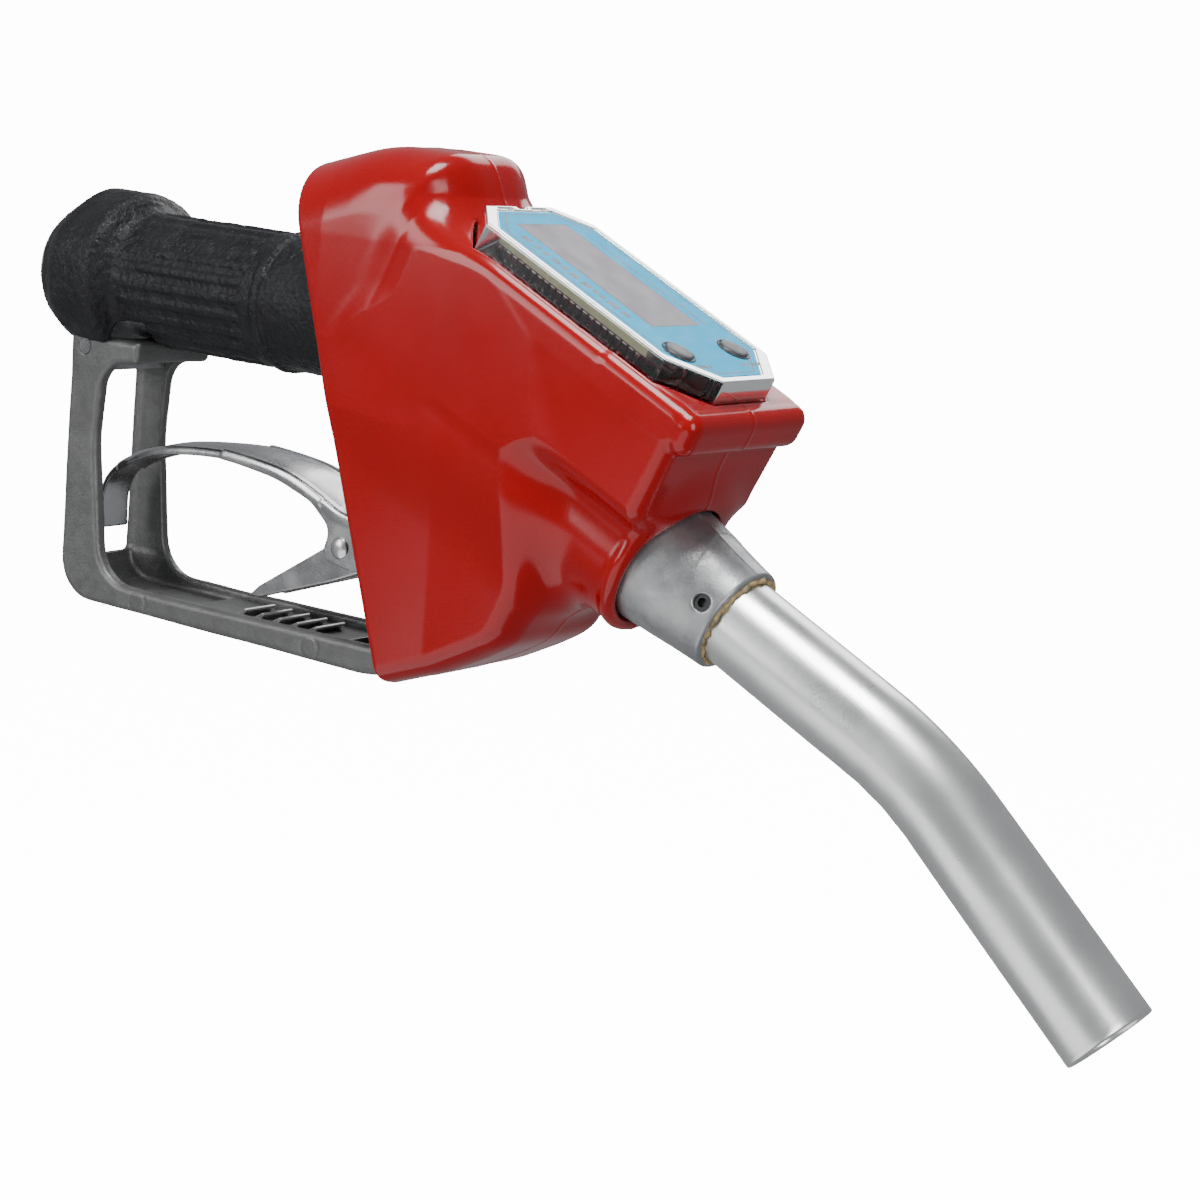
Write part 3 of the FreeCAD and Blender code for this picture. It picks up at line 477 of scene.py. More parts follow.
def make_rack():
    """The cast floor strip and its slanted fins in the guard's channel."""
    low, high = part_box("latch_rack")
    floor, crest = low.z / MM, high.z / MM
    ledge = floor + STRIP_HEIGHT
    upright = Matrix.Rotation(math.radians(-90), 4, "X")
    strip = [(STRIP_START, -floor), (STRIP_START, -ledge), (STRIP_END, -ledge), (STRIP_END, -floor)]
    piece = prism("rack_strip", strip, low.y / MM, high.y / MM, upright, 0.4)
    dress(piece, "body", "guard_casting", cast_grey(), "latch_rack")
    for step in range(FINS):
        start = FINS_START + FIN_PITCH * step
        fin = rounded([(start, -ledge + 0.3), (start + 4.6, -crest, 0.5), (start + 6.4, -crest, 0.5),
                       (start + 3.2, -ledge + 0.3)], 3)
        piece = prism(f"rack_fin_{step}", fin, -FIN_HALF, FIN_HALF, upright, 0.35)
        dress(piece, "body", "guard_casting", worn_cast())


# ---------------------------------------------------------------- lever, latch and rivet

LEVER_WEB = [(19, -79), (18.6, -66), (26, -57.5), (46, -49), (62, -46.4), (78, -45.4), (92, -46.2),
             (104, -48.4), (115, -52.6), (126, -57.4), (156, -58.2)]
SHEET_HALF = 0.85
LEVER_CROWN = 0.0125                   # fall of the lever's top per square millimetre from its middle
LEVER_LIMIT = 11.9                     # half the greatest width
LEVER_FRONT = 156
ROLL_START, ROLL_END, ROLL_RADIUS = 26, 116, 1.25
ROLL_INSET = 0.9                       # from the sheet's edge to the middle of its roll
CHEEK_MIDDLE, CHEEK_HALF = 10.4, 0.8
PIVOT_HOLE = 2.5


def make_lever():
    """A crowned pressed sheet with rolled edges, and two cheeks that hold the pivot."""
    space = Space((16.5, -12.2, -80.5), (178.5, 12.2, -44.5), "lever")
    x, y, z = space.axes()
    line = smooth_line([(u, v - 0.9) for u, v in LEVER_WEB])
    crown = LEVER_CROWN * y ** 2
    sheet = along(x, z + crown * np.clip((x - 24) / 20, 0, 1), line) - SHEET_HALF
    plan = inside(x, y, rounded([(14, -5.8), (30, -6, 10), (52, -11.2, 10), (180, -11.2), (180, 11.2),
                                 (52, 11.2, 10), (30, 6, 10), (14, 5.8)]))
    sheet = keep(sheet, plan, 0.8)
    sheet = keep(sheet, x - LEVER_FRONT, 0.4)
    roll = distance(np.abs(plan + ROLL_INSET), along(x, z + crown, line)) - ROLL_RADIUS
    roll = np.maximum(roll, np.maximum(ROLL_START - x, x - ROLL_END))
    skirt = rounded([(76, -46.2), (104, -48.7, 50), (126, -58, 20), (156, -59), (177, -56, 4), (177, -69, 6),
                     (130, -74, 5), (117.5, -72, 3), (120.5, -63, 5), (112, -56, 10), (98, -51.6, 40),
                     (76, -48.8)])
    cheeks = slab(inside(x, z, skirt), np.abs(y) - CHEEK_MIDDLE, CHEEK_HALF, 0.5)
    body = union(union(sheet, roll, 0.8), cheeks, 1.6)
    body = carve(body, distance(x - PIVOT_X, z - PIVOT_Z) - PIVOT_HOLE)
    body = np.maximum(body, np.abs(y) - LEVER_LIMIT)
    piece = surface("lever_sheet", body, space)
    dress(piece, "lever", "lever_steel", bright_steel("lever_metal", 0.6), "trigger_lever")


LATCH_HALF, LATCH_INNER_HALF = 6.6, 5.1
LATCH_BOSS_RADIUS, LATCH_BOSS_HALF, LATCH_HOLE = 4.4, 6.5, 2.56


def make_latch():
    """The folded hold-open latch, open below, with a boss round its rivet."""
    space = Space((83, -7.2, -92), (134, 7.2, -60), "latch")
    x, y, z = space.axes()
    side = rounded([(85.5, -90), (89.5, -86.2), (114, -70.5, 6), (125, -62.8, 5), (132, -66, 4),
                    (129.5, -75, 4), (119, -79.5, 6), (90, -89.8)])
    inner = rounded([(81, -95), (89.5, -87.9), (114, -72.2, 6), (121, -64), (134, -60), (134, -84),
                     (100, -100)])
    body = slab(inside(x, z, side), y, LATCH_HALF, 0.5)
    body = carve(body, slab(inside(x, z, inner), y, LATCH_INNER_HALF, 0.5), 0.3)
    around = distance(x - RIVET_X, z - RIVET_Z)
    body = union(body, np.maximum(around - LATCH_BOSS_RADIUS, np.abs(y) - LATCH_BOSS_HALF), 0.5)
    body = carve(body, around - LATCH_HOLE)
    piece = surface("latch_sheet", body, space)
    dress(piece, "latch", "lever_steel", bright_steel("latch_metal", 0.5), "hold_open_latch")


def make_rivet():
    """A shank with a domed head at each end."""
    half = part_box("latch_rivet")[1].y / MM
    head, shank_radius = 11.1, 2.5
    dome = [(head, 3.4), (11.5, 3.3), (12.0, 2.75), (12.35, 1.8), (half, 0.8), (half, 0)]
    profile = [(-u, r) for u, r in reversed(dome)] + [(-head, shank_radius), (head, shank_radius)] + dome
    place = Matrix.Translation((RIVET_X * MM, 0, RIVET_Z * MM)) @ Matrix.Rotation(math.radians(90), 4, "Z")
    piece = lathe("rivet_dome", profile, place)
    dress(piece, "lever", "pin_steel", bright_steel("rivet_metal", 0.75), "latch_rivet")


# ---------------------------------------------------------------- adapter and spout

TUBE_RADIUS, TUBE_BORE = 12.7, 10.7
SOCKET_RADIUS, ADAPTER_BORE = 12.72, 10.6
ADAPTER_STEP = 0.16                    # height of the machined area on the adapter's top
PARTING_Y, PARTING_HALF, PARTING_HEIGHT = -1.5, 0.3, 0.12
SCREW_BACK, SCREW_TURN, SCREW_HOLE = -5, math.radians(72), 2.35


def make_adapter():
    """A cast ring with a parting line, a machined area on top and the set screw's hole."""
    space = Space((-41, -19.4, -19.4), (1.2, 19.4, 19.4), "adapter")
    x, y, z = space.axes()
    radial = distance(y, z)
    line = rounded([(-40, -20), (-40, 15, 0.5), (-29.6, 15), (-29.5, 18.65, 1.2), (-17, 17.3, 60),
                    (-5, 15.8, 40), (0, 15.3, 1.0), (0, -20)])
    angle = np.arctan2(y, z)
    behind = np.clip((-16.5 - x + 5 * np.abs(angle)) / 0.5, 0, 1)
    on_top = np.clip((1.1 - np.abs(angle)) / 0.4, 0, 1)
    body = inside(x, radial - ADAPTER_STEP * (behind * on_top), line)
    parting = np.maximum(np.abs(y - PARTING_Y) - PARTING_HALF, -z)
    body = union(body, np.maximum(body - PARTING_HEIGHT, parting), 0.3)
    body = body + wobble(space, 6, 21) * 0.10
    body = carve(body, disc(x, radial, -19.5, 5, SOCKET_RADIUS), 0.5)
    body = carve(body, disc(x, radial, -45, -19, ADAPTER_BORE), 0.3)
    screw_y, screw_z = -math.sin(SCREW_TURN), math.cos(SCREW_TURN)
    side = y * screw_z - z * screw_y
    outward = y * screw_y + z * screw_z
    hole = np.maximum(distance(x - SCREW_BACK, side) - SCREW_HOLE, -outward)
    body = carve(body, hole, 0.7)
    piece = surface("adapter_casting", body, space, FLOW)
    dress(piece, "body", "body_casting", cast_light(), "spout_adapter")


BEAD_RADIUS, BEAD_HALF = 13.3, 0.75


def make_sealant():
    """An uneven bead, thicker above, where the spout leaves the adapter."""
    space = Space((-1.2, -15.2, -15.2), (1.4, 15.2, 15.2), "sealant")
    x, y, z = space.axes()
    radial = distance(y, z)
    bead = distance(x + 0.1, radial - BEAD_RADIUS) - BEAD_HALF
    upper = np.clip(0.3 + z / 12, -0.4, 0.6)
    bead = bead - 0.35 * upper + wobble(space, 1.8, 31) * 0.45
    bead = np.maximum(bead, SOCKET_RADIUS - radial)
    piece = surface("thread_sealant", bead, space, FLOW)
    dress(piece, "body", "seal_rubber", sealant())


# The spout's centre line from the adapter's face: straight, a bend and the tip. Its rear is in the adapter.
STRAIGHT, BEND_RADIUS, BEND, TIP = 47.7, 111.4, math.radians(16.93), 66.1
SPOUT_REAR = -19.0
PINCH_REACH, PINCH_BELOW, PINCH_ABOVE = 16, 0.3, 0.25      # of the bend: reach along the tube, and depths


def spout_point(place):
    """Centre x, centre z and slope of the bent spout at a place along it."""
    if place <= STRAIGHT:
        return place, 0.0, 0.0
    turn = min((place - STRAIGHT) / BEND_RADIUS, BEND)
    rest = place - STRAIGHT - turn * BEND_RADIUS
    x = STRAIGHT + BEND_RADIUS * math.sin(turn) + rest * math.cos(turn)
    z = -BEND_RADIUS * (1 - math.cos(turn)) - rest * math.sin(turn)
    return x, z, turn


def make_spout():
    """The tube as one closed skin: out along the outside, round the cut end and back along the bore."""
    turns, steps = 128, 150
    total = STRAIGHT + BEND_RADIUS * BEND + TIP
    middle = STRAIGHT + BEND_RADIUS * BEND / 2
    places = [SPOUT_REAR + (total - SPOUT_REAR) * step / steps for step in range(steps)]
    rings = [(place, TUBE_RADIUS) for place in places]
    rings += [(total - 0.4, 12.68), (total - 0.1, 12.5), (total, 12.2), (total, 11.2), (total - 0.25, 10.85)]
    rings += [(place, TUBE_BORE) for place in reversed(places)]
    points = []
    for place, radius in rings:
        x, z, slope = spout_point(place)
        pinch = math.exp(-((place - middle) / PINCH_REACH) ** 2)
        for step in range(turns):
            angle = 2 * math.pi * step / turns
            up = math.cos(angle)
            reach = radius - PINCH_BELOW * pinch * max(-up, 0) * (1 + 0.25 * math.sin(place * 0.6))
            reach -= PINCH_ABOVE * pinch * max(up, 0) ** 2
            if place > total - 1.0:
                reach += 0.06 * math.sin(3 * angle + 1)
            v, w = reach * math.sin(angle), reach * up
            points.append((x + w * math.sin(slope), v, z + w * math.cos(slope)))
    piece = closed_mesh("spout_skin", points, tube_faces(len(rings), turns), FLOW, smooth=True)
    dress(piece, "body", "spout_aluminium", satin_aluminium(), "spout_tube")


# ---------------------------------------------------------------- display unit

BUTTONS = {"near_button": -14.1, "far_button": 11.8}       # how far each is to the side
BUTTON_X = -45.5
WINDOW = ((-110.1, -10.9), (-58.1, 10.9))
SHELL_MIDDLE, SHELL_HALF, SHELL_WALL = 51.95, 4.75, 1.9
INNER_MIDDLE, INNER_HALF = 50.6, 4.5
FRONT_RIB_PITCH, FRONT_RIB_HALF = 4.8, 0.5
POSTS = ((-38.4, -17.4), (-38.4, 17.4), (-114, -17.2), (-114, 17.2))
POST_RADIUS, POST_HOLE, BUTTON_HOLE = 2.3, 1.0, 4.45
LABEL_LOW, LABEL_TOP = 56.02, 56.42
PRINT_TOP = LABEL_TOP + 0.02


def octagon(inset):
    """Plan of the display housing in the outflow frame, moved in by inset."""
    rear, front, side = -120.1 + inset, -30.3 - inset, 24.5 - inset
    rear_cut, front_cut = 9.6, 12.0
    return [(rear, -side + rear_cut), (rear + rear_cut, -side), (front - front_cut, -side),
            (front, -side + front_cut), (front, side - front_cut), (front - front_cut, side),
            (rear + rear_cut, side), (rear, side - rear_cut)]


def window_outline(grow):
    (x0, y0), (x1, y1) = WINDOW
    return [(x0 - grow, y0 - grow), (x1 + grow, y0 - grow), (x1 + grow, y1 + grow), (x0 - grow, y1 + grow)]


def housing_inside(space):
    """The room in the clear housing, less the ribs at its front and the four hollow posts."""
    x, y, z = space.axes()
    room = slab(inside(x, y, octagon(SHELL_WALL)), z - INNER_MIDDLE, INNER_HALF, 0.4)
    ribs = brick(x, y, z, (-34.6, -12, 47.3), (-32.0, 12, 55), 0.3)
    ribs = np.maximum(ribs, np.abs(np.mod(y, FRONT_RIB_PITCH) - FRONT_RIB_PITCH / 2) - FRONT_RIB_HALF)
    posts = np.full(space.shape, 9.0, np.float32)
    for post_x, post_y in POSTS:
        around = distance(x - post_x, y - post_y)
        post = np.maximum(np.maximum(around - POST_RADIUS, POST_HOLE - around), np.abs(z - 51.3) - 4)
        posts = np.minimum(posts, post)
    return keep(room, -union(ribs, posts), 0.2)


def make_clear_housing():
    """A clear box with a recess for the label, clip slots, notches at both ends and the buttons' holes."""
    space = Space((-121, -25.4, 46.5), (-29.4, 25.4, 57.4), "housing")
    x, y, z = space.axes()
    body = slab(inside(x, y, octagon(0)), z - SHELL_MIDDLE, SHELL_HALF, 0.7)
    body = carve(body, housing_inside(space), 0.3)
    recess = slab(inside(x, y, octagon(2.6)), z - 57.3, 1.05, 0.1)
    body = carve(body, recess, 0.3)
    for slot_y in (-7.5, 7.5):
        slot = brick(x, y, z, (-118.9, slot_y - 3.4, 55.6), (-117.9, slot_y + 3.4, 58), 0.3)
        body = carve(body, slot, 0.2)
    rear_notch = np.maximum(np.abs(y - 0.5) + (57 - z) * 0.9 - 2.4, x + 118.4)
    body = carve(body, rear_notch, 0.4)
    front_notch = np.maximum(np.abs(y + 1) + (z - 47) * 0.9 - 2.2, -32.4 - x)
    body = carve(body, front_notch, 0.4)
    for button_y in BUTTONS.values():
        hole = distance(x - BUTTON_X, y - button_y) - BUTTON_HOLE
        body = carve(body, np.maximum(hole, 54 - z), 0.2)
    piece = surface("clear_shell", body, space, FLOW)
    dress(piece, "body", "housing_clear", clear_plastic(), "clear_housing")


def print_dashes():
    """Rows of dashes and blocks where a label has words, and a column beside each button."""
    rng = np.random.default_rng(7)
    dashes = []
    for row_y, half, start, end, mean in ((-15.6, 1.5, -104, -62, 3.0), (14.6, 0.55, -100, -60, 1.7)):
        place = start
        while place < end:
            length = mean * rng.uniform(0.5, 1.4)
            low_y = row_y - half * rng.uniform(0.55, 1)
            dashes.append(((place, low_y, LABEL_TOP), (place + length, row_y + half * 0.6, PRINT_TOP)))
            place += length + mean * rng.uniform(0.25, 0.6)
    for button_y in BUTTONS.values():
        for step in range(7):
            middle = button_y - 5.2 + 1.75 * step
            dashes.append(((-38.9, middle - 0.5, LABEL_TOP), (-37.4, middle + 0.5, PRINT_TOP)))
    return dashes


def make_label():
    """The blue face label with its printed lines and dashes, and the display's window."""
    piece = prism("blue_label", octagon(3.0), LABEL_LOW, LABEL_TOP, FLOW)
    dress(piece, "body", "label_blue", label_blue(), "face_label")
    black = flat_look("print_black", (0.012, 0.012, 0.018), 0.35)
    piece = ribbon("label_border", octagon(4.3), octagon(4.65), LABEL_TOP, PRINT_TOP, FLOW)
    dress(piece, "body", "button_dark", black)
    border, window = window_outline(0.35), window_outline(0)
    piece = ribbon("window_border", border, window, LABEL_TOP, LABEL_TOP + 0.03, FLOW)
    dress(piece, "body", "button_dark", black)
    piece = prism("lcd_glass", window, LABEL_TOP - 0.2, PRINT_TOP, FLOW)
    dress(piece, "body", "lcd_grey", lcd_look())
    piece = boxes("print_marks", print_dashes(), FLOW)
    dress(piece, "body", "button_dark", black)


def make_button_domes():
    """A domed rubber key for each button, and a thin ring on the label round it."""
    rubber = flat_look("button_rubber", (0.05, 0.052, 0.06), 0.42)
    ring_look = flat_look("button_ring", (0.01, 0.01, 0.012), 0.4)
    dome = [(52.6, 0), (52.6, 4.9), (53.4, 4.9), (53.4, 4.15), (56.5, 4.15), (56.9, 4.0), (57.15, 3.4),
            (57.3, 2.2), (57.35, 0)]
    ring = [(56.4, 4.35), (56.62, 4.4), (56.62, 4.95), (56.4, 5.0)]
    for name, y in BUTTONS.items():
        upright = Matrix.Rotation(math.radians(-90), 4, "Y")
        place = FLOW @ Matrix.Translation((BUTTON_X * MM, y * MM, 0)) @ upright
        piece = lathe(name + "_dome", dome, place)
        dress(piece, name, "button_dark", rubber, name)
        piece = lathe(name + "_ring", ring, place)
        dress(piece, "body", "button_dark", ring_look)


HEADER_PINS, HEADER_PITCH, HEADER_START = 21, 2.54, -104
RAIL_INNER, RAIL_OUTER = 17.4, 21.2
LEG_REACH, PIN_REACH = 0.9, 1.05       # from the rail's outer face


def make_board_details():
    """What shows through the clear walls: two header rails with their legs and pins, and white dashes."""
    black = flat_look("header_black", (0.012, 0.011, 0.010), 0.4)
    rails = []
    dashes = []
    pins = []
    legs = []
    for side in (-1, 1):
        inner, outer = sorted((RAIL_INNER * side, RAIL_OUTER * side))
        rails.append(((-106, inner, 49.3), (-50, outer, 51.7)))
        edge = RAIL_OUTER * side
        leg_near, leg_far = sorted((edge, edge + LEG_REACH * side))
        pin_near, pin_far = sorted((edge + LEG_REACH * side, edge + PIN_REACH * side))
        for step in range(HEADER_PINS):
            x = HEADER_START + HEADER_PITCH * step
            legs.append(((x - 0.75, leg_near, 48.1), (x + 0.75, leg_far, 50.9)))
            pins.append(((x - 0.3, pin_near, 48.2), (x + 0.3, pin_far, 48.9)))
            dashes.append(((x - 0.8, pin_near, 51.1), (x + 0.8, pin_far, 51.4)))
    piece = boxes("header_rails", rails, FLOW, 0.15)
    dress(piece, "body", "button_dark", black, "pin_headers")
    piece = boxes("header_legs", legs, FLOW, 0.25)
    dress(piece, "body", "button_dark", flat_look("leg_brown", (0.07, 0.03, 0.025), 0.3))
    piece = boxes("header_pins", pins, FLOW)
    dress(piece, "body", "stainless", bright_steel("pin_tips", 0.8))
    piece = boxes("board_dashes", dashes, FLOW)
    dress(piece, "body", "white_plastic", flat_look("print_white", (0.85, 0.85, 0.82), 0.5))


# ---------------------------------------------------------------- materials

def material(name, color, roughness, metallic=0.0):
    """A material, its tree and its shader."""
    made = bpy.data.materials.new(name)
    made.use_nodes = True
    tree = made.node_tree
    shader = tree.nodes["Principled BSDF"]
    shader.inputs["Base Color"].default_value = (*color, 1)
    shader.inputs["Roughness"].default_value = roughness
    shader.inputs["Metallic"].default_value = metallic
    return made, tree, shader


def noise(tree, scale, detail=2.0, rough=0.5, stretch=(1, 1, 1)):
    """Noise in the piece's own space; scale is lumps per metre."""
    place = tree.nodes.new("ShaderNodeTexCoord")
    mapping = tree.nodes.new("ShaderNodeMapping")
    mapping.inputs["Scale"].default_value = stretch
    node = tree.nodes.new("ShaderNodeTexNoise")
    node.inputs["Scale"].default_value = scale
    node.inputs["Detail"].default_value = detail
    node.inputs["Roughness"].default_value = rough
    tree.links.new(place.outputs["Object"], mapping.inputs["Vector"])
    tree.links.new(mapping.outputs["Vector"], node.inputs["Vector"])
    return node.outputs["Fac"]


def vary_color(tree, shader, source, dark, light, edges=(0.3, 0.7)):
    """Let the colour follow a noise: dark up to the first edge, light from the second."""
    node = tree.nodes.new("ShaderNodeValToRGB")
    for element, place, color in zip(node.color_ramp.elements, edges, (dark, light)):
        element.position = place
        element.color = (*color, 1)
    tree.links.new(source, node.inputs["Fac"])
    tree.links.new(node.outputs["Color"], shader.inputs["Base Color"])


def vary_roughness(tree, shader, source, low, high):
    """Let the roughness follow a noise: low up to 0.3, high from 0.7."""
    node = tree.nodes.new("ShaderNodeMapRange")
    node.inputs["From Min"].default_value = 0.3
    node.inputs["From Max"].default_value = 0.7
    node.inputs["To Min"].default_value = low
    node.inputs["To Max"].default_value = high
    tree.links.new(source, node.inputs["Value"])
    tree.links.new(node.outputs["Result"], shader.inputs["Roughness"])


def bump(tree, shader, source, strength, depth):
    """Add a noise to the relief that the shader already has."""
    node = tree.nodes.new("ShaderNodeBump")
    node.inputs["Strength"].default_value = strength
    node.inputs["Distance"].default_value = depth
    tree.links.new(source, node.inputs["Height"])
    if shader.inputs["Normal"].is_linked:
        tree.links.new(shader.inputs["Normal"].links[0].from_socket, node.inputs["Normal"])
    tree.links.new(node.outputs["Normal"], shader.inputs["Normal"])


def vinyl_red():
    made, tree, shader = material("vinyl_red", (0.26, 0.0003, 0.0016), 0.22)
    shader.inputs["Specular IOR Level"].default_value = 0.38
    vary_color(tree, shader, noise(tree, 28, 3), (0.25, 0.0002, 0.0013), (0.29, 0.0003, 0.0018))
    vary_roughness(tree, shader, noise(tree, 60, 1), 0.15, 0.19)
    bump(tree, shader, noise(tree, 24, 1), 0.10, 0.0010)
    bump(tree, shader, noise(tree, 1800, 2), 0.05, 0.00005)
    return made


def rubber_black():
    made, tree, shader = material("rubber_black", (0.008, 0.008, 0.009), 0.5)
    vary_color(tree, shader, noise(tree, 90, 4), (0.005, 0.005, 0.006), (0.010, 0.0105, 0.012))
    vary_roughness(tree, shader, noise(tree, 260, 3), 0.30, 0.50)
    shader.inputs["Specular IOR Level"].default_value = 0.2
    bump(tree, shader, noise(tree, 700, 3, 0.6), 0.9, 0.0006)
    return made


def metal(name, dark, light, roughness, grain, depth, metallic=1.0, scale=40):
    """A metal whose tone and roughness vary softly, with a fine cast or brushed grain."""
    made, tree, shader = material(name, light, roughness[0], metallic)
    vary_color(tree, shader, noise(tree, scale, 5, 0.6), dark, light, (0.32, 0.68))
    vary_roughness(tree, shader, noise(tree, scale * 3, 4), *roughness)
    bump(tree, shader, noise(tree, grain, 3, 0.6), 0.5, depth)
    return made, tree, shader


def cast_grey():
    made, *_ = metal("cast_grey", (0.105, 0.105, 0.104), (0.135, 0.136, 0.136), (0.36, 0.48), 1500, 0.00016,
                     0.6, 90)
    return made


def worn_cast():
    made, *_ = metal("worn_cast", (0.30, 0.30, 0.30), (0.5, 0.5, 0.49), (0.28, 0.42), 900, 0.0001, 0.8)
    return made


def brass():
    made, *_ = metal("brass", (0.55, 0.38, 0.14), (0.75, 0.56, 0.25), (0.2, 0.35), 600, 0.00008)
    return made


def cast_light():
    """The body's bright casting, with scratches along x."""
    made, tree, shader = metal("cast_light", (0.24, 0.25, 0.26), (0.40, 0.405, 0.405), (0.30, 0.46), 1300,
                               0.00014, 0.8, 70)
    bump(tree, shader, noise(tree, 60, 3, 0.6, (1, 14, 14)), 0.12, 0.0001)
    return made


def bright_steel(name, tone):
    """Brushed steel of a given lightness."""
    dark = (tone * 0.72,) * 3
    light = (tone, tone, tone * 1.01)
    made, tree, shader = metal(name, dark, light, (0.18, 0.34), 500, 0.00008)
    bump(tree, shader, noise(tree, 240, 2, 0.5, (1, 12, 12)), 0.10, 0.0001)
    return made


def satin_aluminium():
    """Drawn tube, with fine marks round it."""
    made, tree, shader = metal("satin_aluminium", (0.74, 0.75, 0.74), (0.84, 0.845, 0.83), (0.26, 0.34), 1600,
                               0.00005, scale=18)
    bump(tree, shader, noise(tree, 900, 3, 0.6, (1, 0.08, 1)), 0.10, 0.00008)
    return made


def sealant():
    made, tree, shader = material("sealant", (0.32, 0.22, 0.09), 0.7)
    vary_color(tree, shader, noise(tree, 420, 3), (0.09, 0.07, 0.04), (0.42, 0.31, 0.14), (0.35, 0.65))
    bump(tree, shader, noise(tree, 1500, 3), 0.6, 0.0003)
    return made


def flat_look(name, color, roughness):
    """A plain moulded or printed surface with a faint grain."""
    made, tree, shader = material(name, color, roughness)
    darker = tuple(part * 0.86 for part in color)
    vary_color(tree, shader, noise(tree, 150, 3), darker, color)
    vary_roughness(tree, shader, noise(tree, 320, 3), roughness * 0.85, min(1, roughness * 1.2))
    bump(tree, shader, noise(tree, 1400, 2), 0.15, 0.0001)
    return made


def label_blue():
    made, tree, shader = material("label_blue", (0.0, 0.36, 0.62), 0.5)
    vary_color(tree, shader, noise(tree, 30, 2), (0.0, 0.33, 0.58), (0.001, 0.38, 0.66))
    vary_roughness(tree, shader, noise(tree, 200, 3), 0.42, 0.58)
    shader.inputs["Specular IOR Level"].default_value = 0.08
    bump(tree, shader, noise(tree, 1200, 2), 0.12, 0.00006)
    return made


def lcd_look():
    made, tree, shader = material("lcd_look", (0.15, 0.14, 0.17), 0.4)
    vary_color(tree, shader, noise(tree, 22, 3), (0.14, 0.13, 0.155), (0.18, 0.155, 0.185))
    vary_roughness(tree, shader, noise(tree, 120, 2), 0.3, 0.45)
    shader.inputs["Specular IOR Level"].default_value = 0.15
    bump(tree, shader, noise(tree, 1800, 2), 0.2, 0.00005)
    return made


def clear_plastic():
    made, tree, shader = material("clear_plastic", (0.93, 0.955, 0.96), 0.05)
    shader.inputs["Transmission Weight"].default_value = 1.0
    shader.inputs["IOR"].default_value = 1.49
    vary_roughness(tree, shader, noise(tree, 160, 3), 0.03, 0.10)
    bump(tree, shader, noise(tree, 120, 2), 0.08, 0.0003)
    return made


def slot_looks():
    """The look of each material slot in the record, for the CAD nodes that stay in view."""
    return {
        "body_casting": cast_light(),
        "guard_casting": cast_grey(),
        "meter_casting": cast_light(),
        "cap_casting": cast_light(),
        "lever_steel": bright_steel("steel_plate", 0.6),
        "pin_steel": bright_steel("steel_pin", 0.45),
        "spring_steel": bright_steel("steel_spring", 0.5),
        "stainless": bright_steel("steel_stainless", 0.7),
        "brass": brass(),
        "seal_rubber": flat_look("seal_rubber", (0.02, 0.02, 0.022), 0.6),
        "grip_rubber": rubber_black(),
        # Parts of white plastic, coloured near black: painted shade inside the display housing.
        "white_plastic": flat_look("white_plastic_painted_shade", (0.02, 0.02, 0.022), 0.45),
        "sensor_plastic": flat_look("sensor_plastic", (0.03, 0.03, 0.03), 0.5),
        "board_green": flat_look("board_green", (0.008, 0.035, 0.025), 0.35),
        "battery_jacket": flat_look("battery_jacket", (0.05, 0.05, 0.30), 0.35),
        "frame_cream": flat_look("frame_cream", (0.50, 0.48, 0.27), 0.5),
        "lcd_grey": flat_look("lcd_module", (0.4, 0.42, 0.43), 0.4),
        "label_blue": label_blue(),
        "housing_clear": clear_plastic(),
        "button_dark": flat_look("dark_plastic", (0.03, 0.03, 0.034), 0.42),
        "spout_aluminium": satin_aluminium(),
        "cover_vinyl": vinyl_red(),
    }


def dress_cad_nodes():
    looks = slot_looks()
    for entry in frame["record"]["subparts"]:
        piece = frame["nodes"][entry["node"]]
        piece.data.materials.clear()
        piece.data.materials.append(looks[entry["material_slot"]])
    screw = frame["nodes"]["spout_set_screw"]
    screw.data.materials[0] = flat_look("blackened_steel", (0.006, 0.006, 0.007), 0.4)


# ---------------------------------------------------------------- stage, all in metres

WORLD_COLOR, WORLD_LIGHT = (0.93, 0.96, 1.0, 1), 0.35
BACKDROP_LIGHT = 14.0
ROOM_HALF, FLOOR_Z, CEILING_Z = 9.0, -0.55, 9.0
FOCAL_LENGTH, SENSOR_WIDTH = 76.8, 36
EYE = (0.6118, -0.5684, 0.0703)
LOOKING, RIGHTWARDS = (-0.5646, 0.8020, -0.1950), (0.8039, 0.5879, 0.0904)


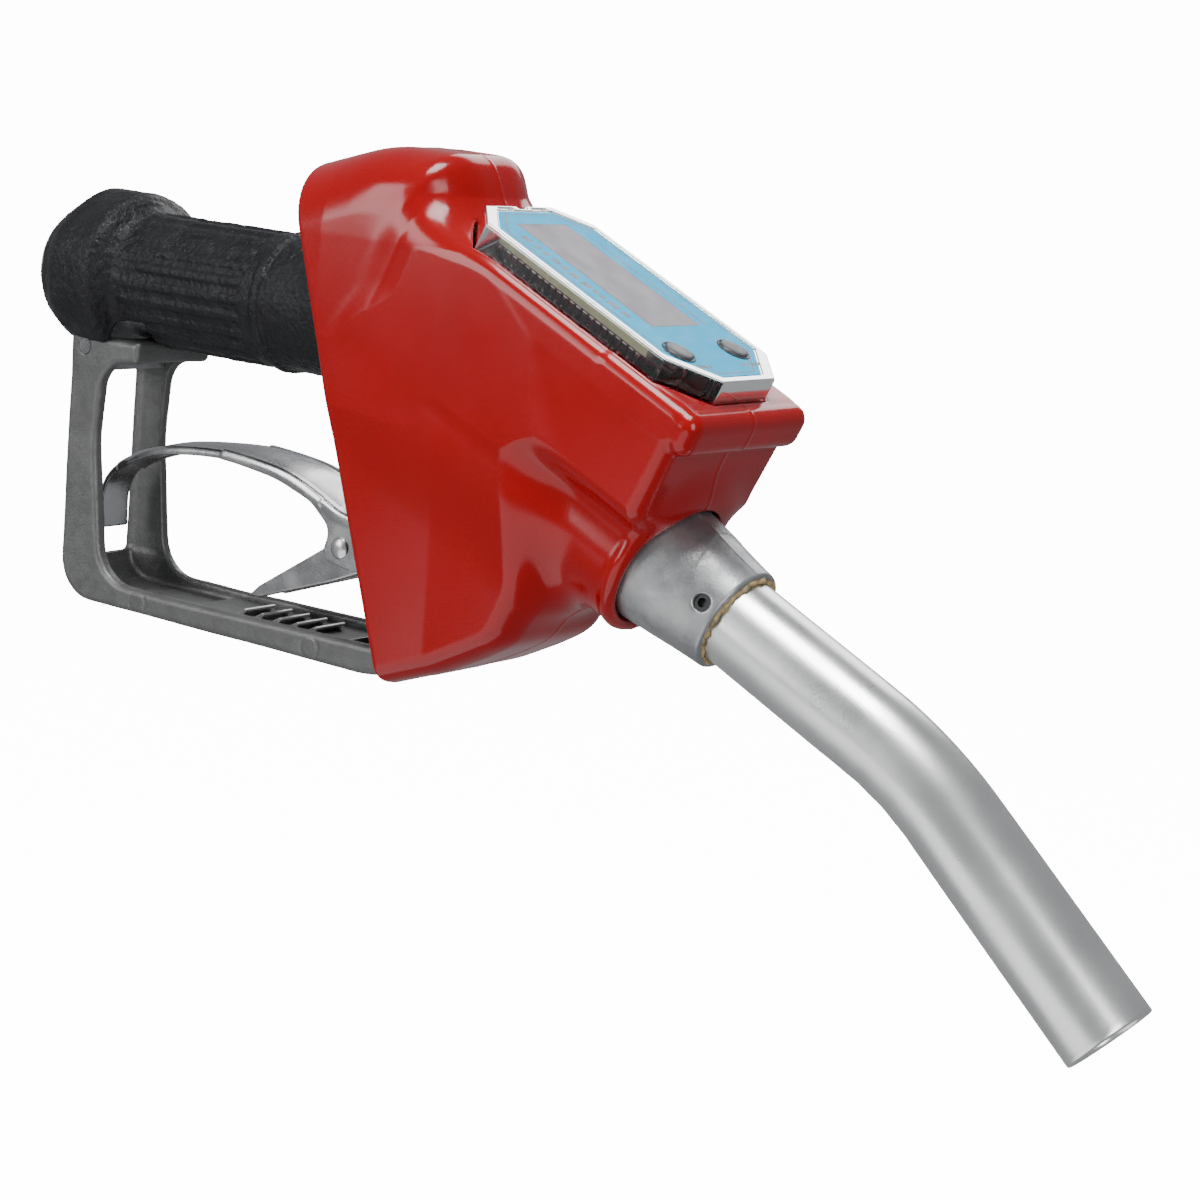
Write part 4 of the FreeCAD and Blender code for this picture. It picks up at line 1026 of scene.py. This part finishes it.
def make_stage():
    """A pale floor that runs up into pale walls. Its light reaches the camera only, not the object."""
    world = bpy.data.worlds.new("studio")
    world.use_nodes = True
    background = world.node_tree.nodes["Background"]
    background.inputs["Color"].default_value = WORLD_COLOR
    background.inputs["Strength"].default_value = WORLD_LIGHT
    bpy.context.scene.world = world
    made, _, shader = material("pale_floor", (0.9, 0.9, 0.9), 0.9)
    shader.inputs["Emission Color"].default_value = (1, 1, 1, 1)
    shader.inputs["Emission Strength"].default_value = BACKDROP_LIGHT
    mesh = bpy.data.meshes.new("floor")
    corners = [(-1, -1), (1, -1), (1, 1), (-1, 1)]
    points = [(x * ROOM_HALF, y * ROOM_HALF, level) for level in (FLOOR_Z, CEILING_Z) for x, y in corners]
    walls = [(a, (a + 1) % 4, (a + 1) % 4 + 4, a + 4) for a in range(4)]
    mesh.from_pydata(points, [], [(0, 1, 2, 3)] + walls)
    floor = add_piece("floor", mesh, False)
    mesh.materials.append(made)
    floor.visible_diffuse = False
    floor.visible_glossy = False
    floor.visible_shadow = False
    floor.visible_transmission = False


def area_light(name, place, width, height, power, target=(0.2, 0, -0.03)):
    """A soft light that faces the target and isn't seen itself."""
    light = bpy.data.lights.new(name, "AREA")
    light.shape = "RECTANGLE"
    light.size = width
    light.size_y = height
    light.energy = power
    piece = bpy.data.objects.new(name, light)
    piece.location = place
    piece.rotation_euler = (Vector(target) - Vector(place)).to_track_quat("-Z", "Y").to_euler()
    piece.visible_camera = False
    bpy.context.scene.collection.objects.link(piece)


def make_lights():
    """Five soft lights. The last is below the floor, which doesn't stop its light."""
    area_light("key", (0.25, -0.35, 1.25), 0.6, 0.6, 24)
    area_light("side", (-0.55, -1.15, 0.45), 0.5, 1.0, 11)
    area_light("front", (1.35, -0.75, 0.35), 0.5, 0.9, 9)
    area_light("back", (-0.2, 1.2, 0.8), 0.9, 0.9, 9)
    area_light("bounce", (0.15, -0.75, -0.75), 1.2, 1.2, 6, (0.3, 0, -0.1))


def make_camera():
    """The camera at EYE. RIGHTWARDS sets its roll."""
    camera = bpy.data.cameras.new("camera")
    camera.lens = FOCAL_LENGTH
    camera.sensor_width = SENSOR_WIDTH
    camera.clip_end = 50
    piece = bpy.data.objects.new("camera", camera)
    forward = Vector(LOOKING).normalized()
    up = Vector(RIGHTWARDS).normalized().cross(forward).normalized()
    right = forward.cross(up)
    rows = zip(right, up, -forward, EYE)
    piece.matrix_world = Matrix([*rows, (0, 0, 0, 1)])
    bpy.context.scene.collection.objects.link(piece)
    bpy.context.scene.camera = piece


make_camera()
make_stage()
make_lights()
dress_cad_nodes()
make_cover()
make_grip()
make_guard()
make_rack()
make_lever()
make_latch()
make_rivet()
make_adapter()
make_sealant()
make_spout()
make_clear_housing()
make_label()
make_button_domes()
make_board_details()
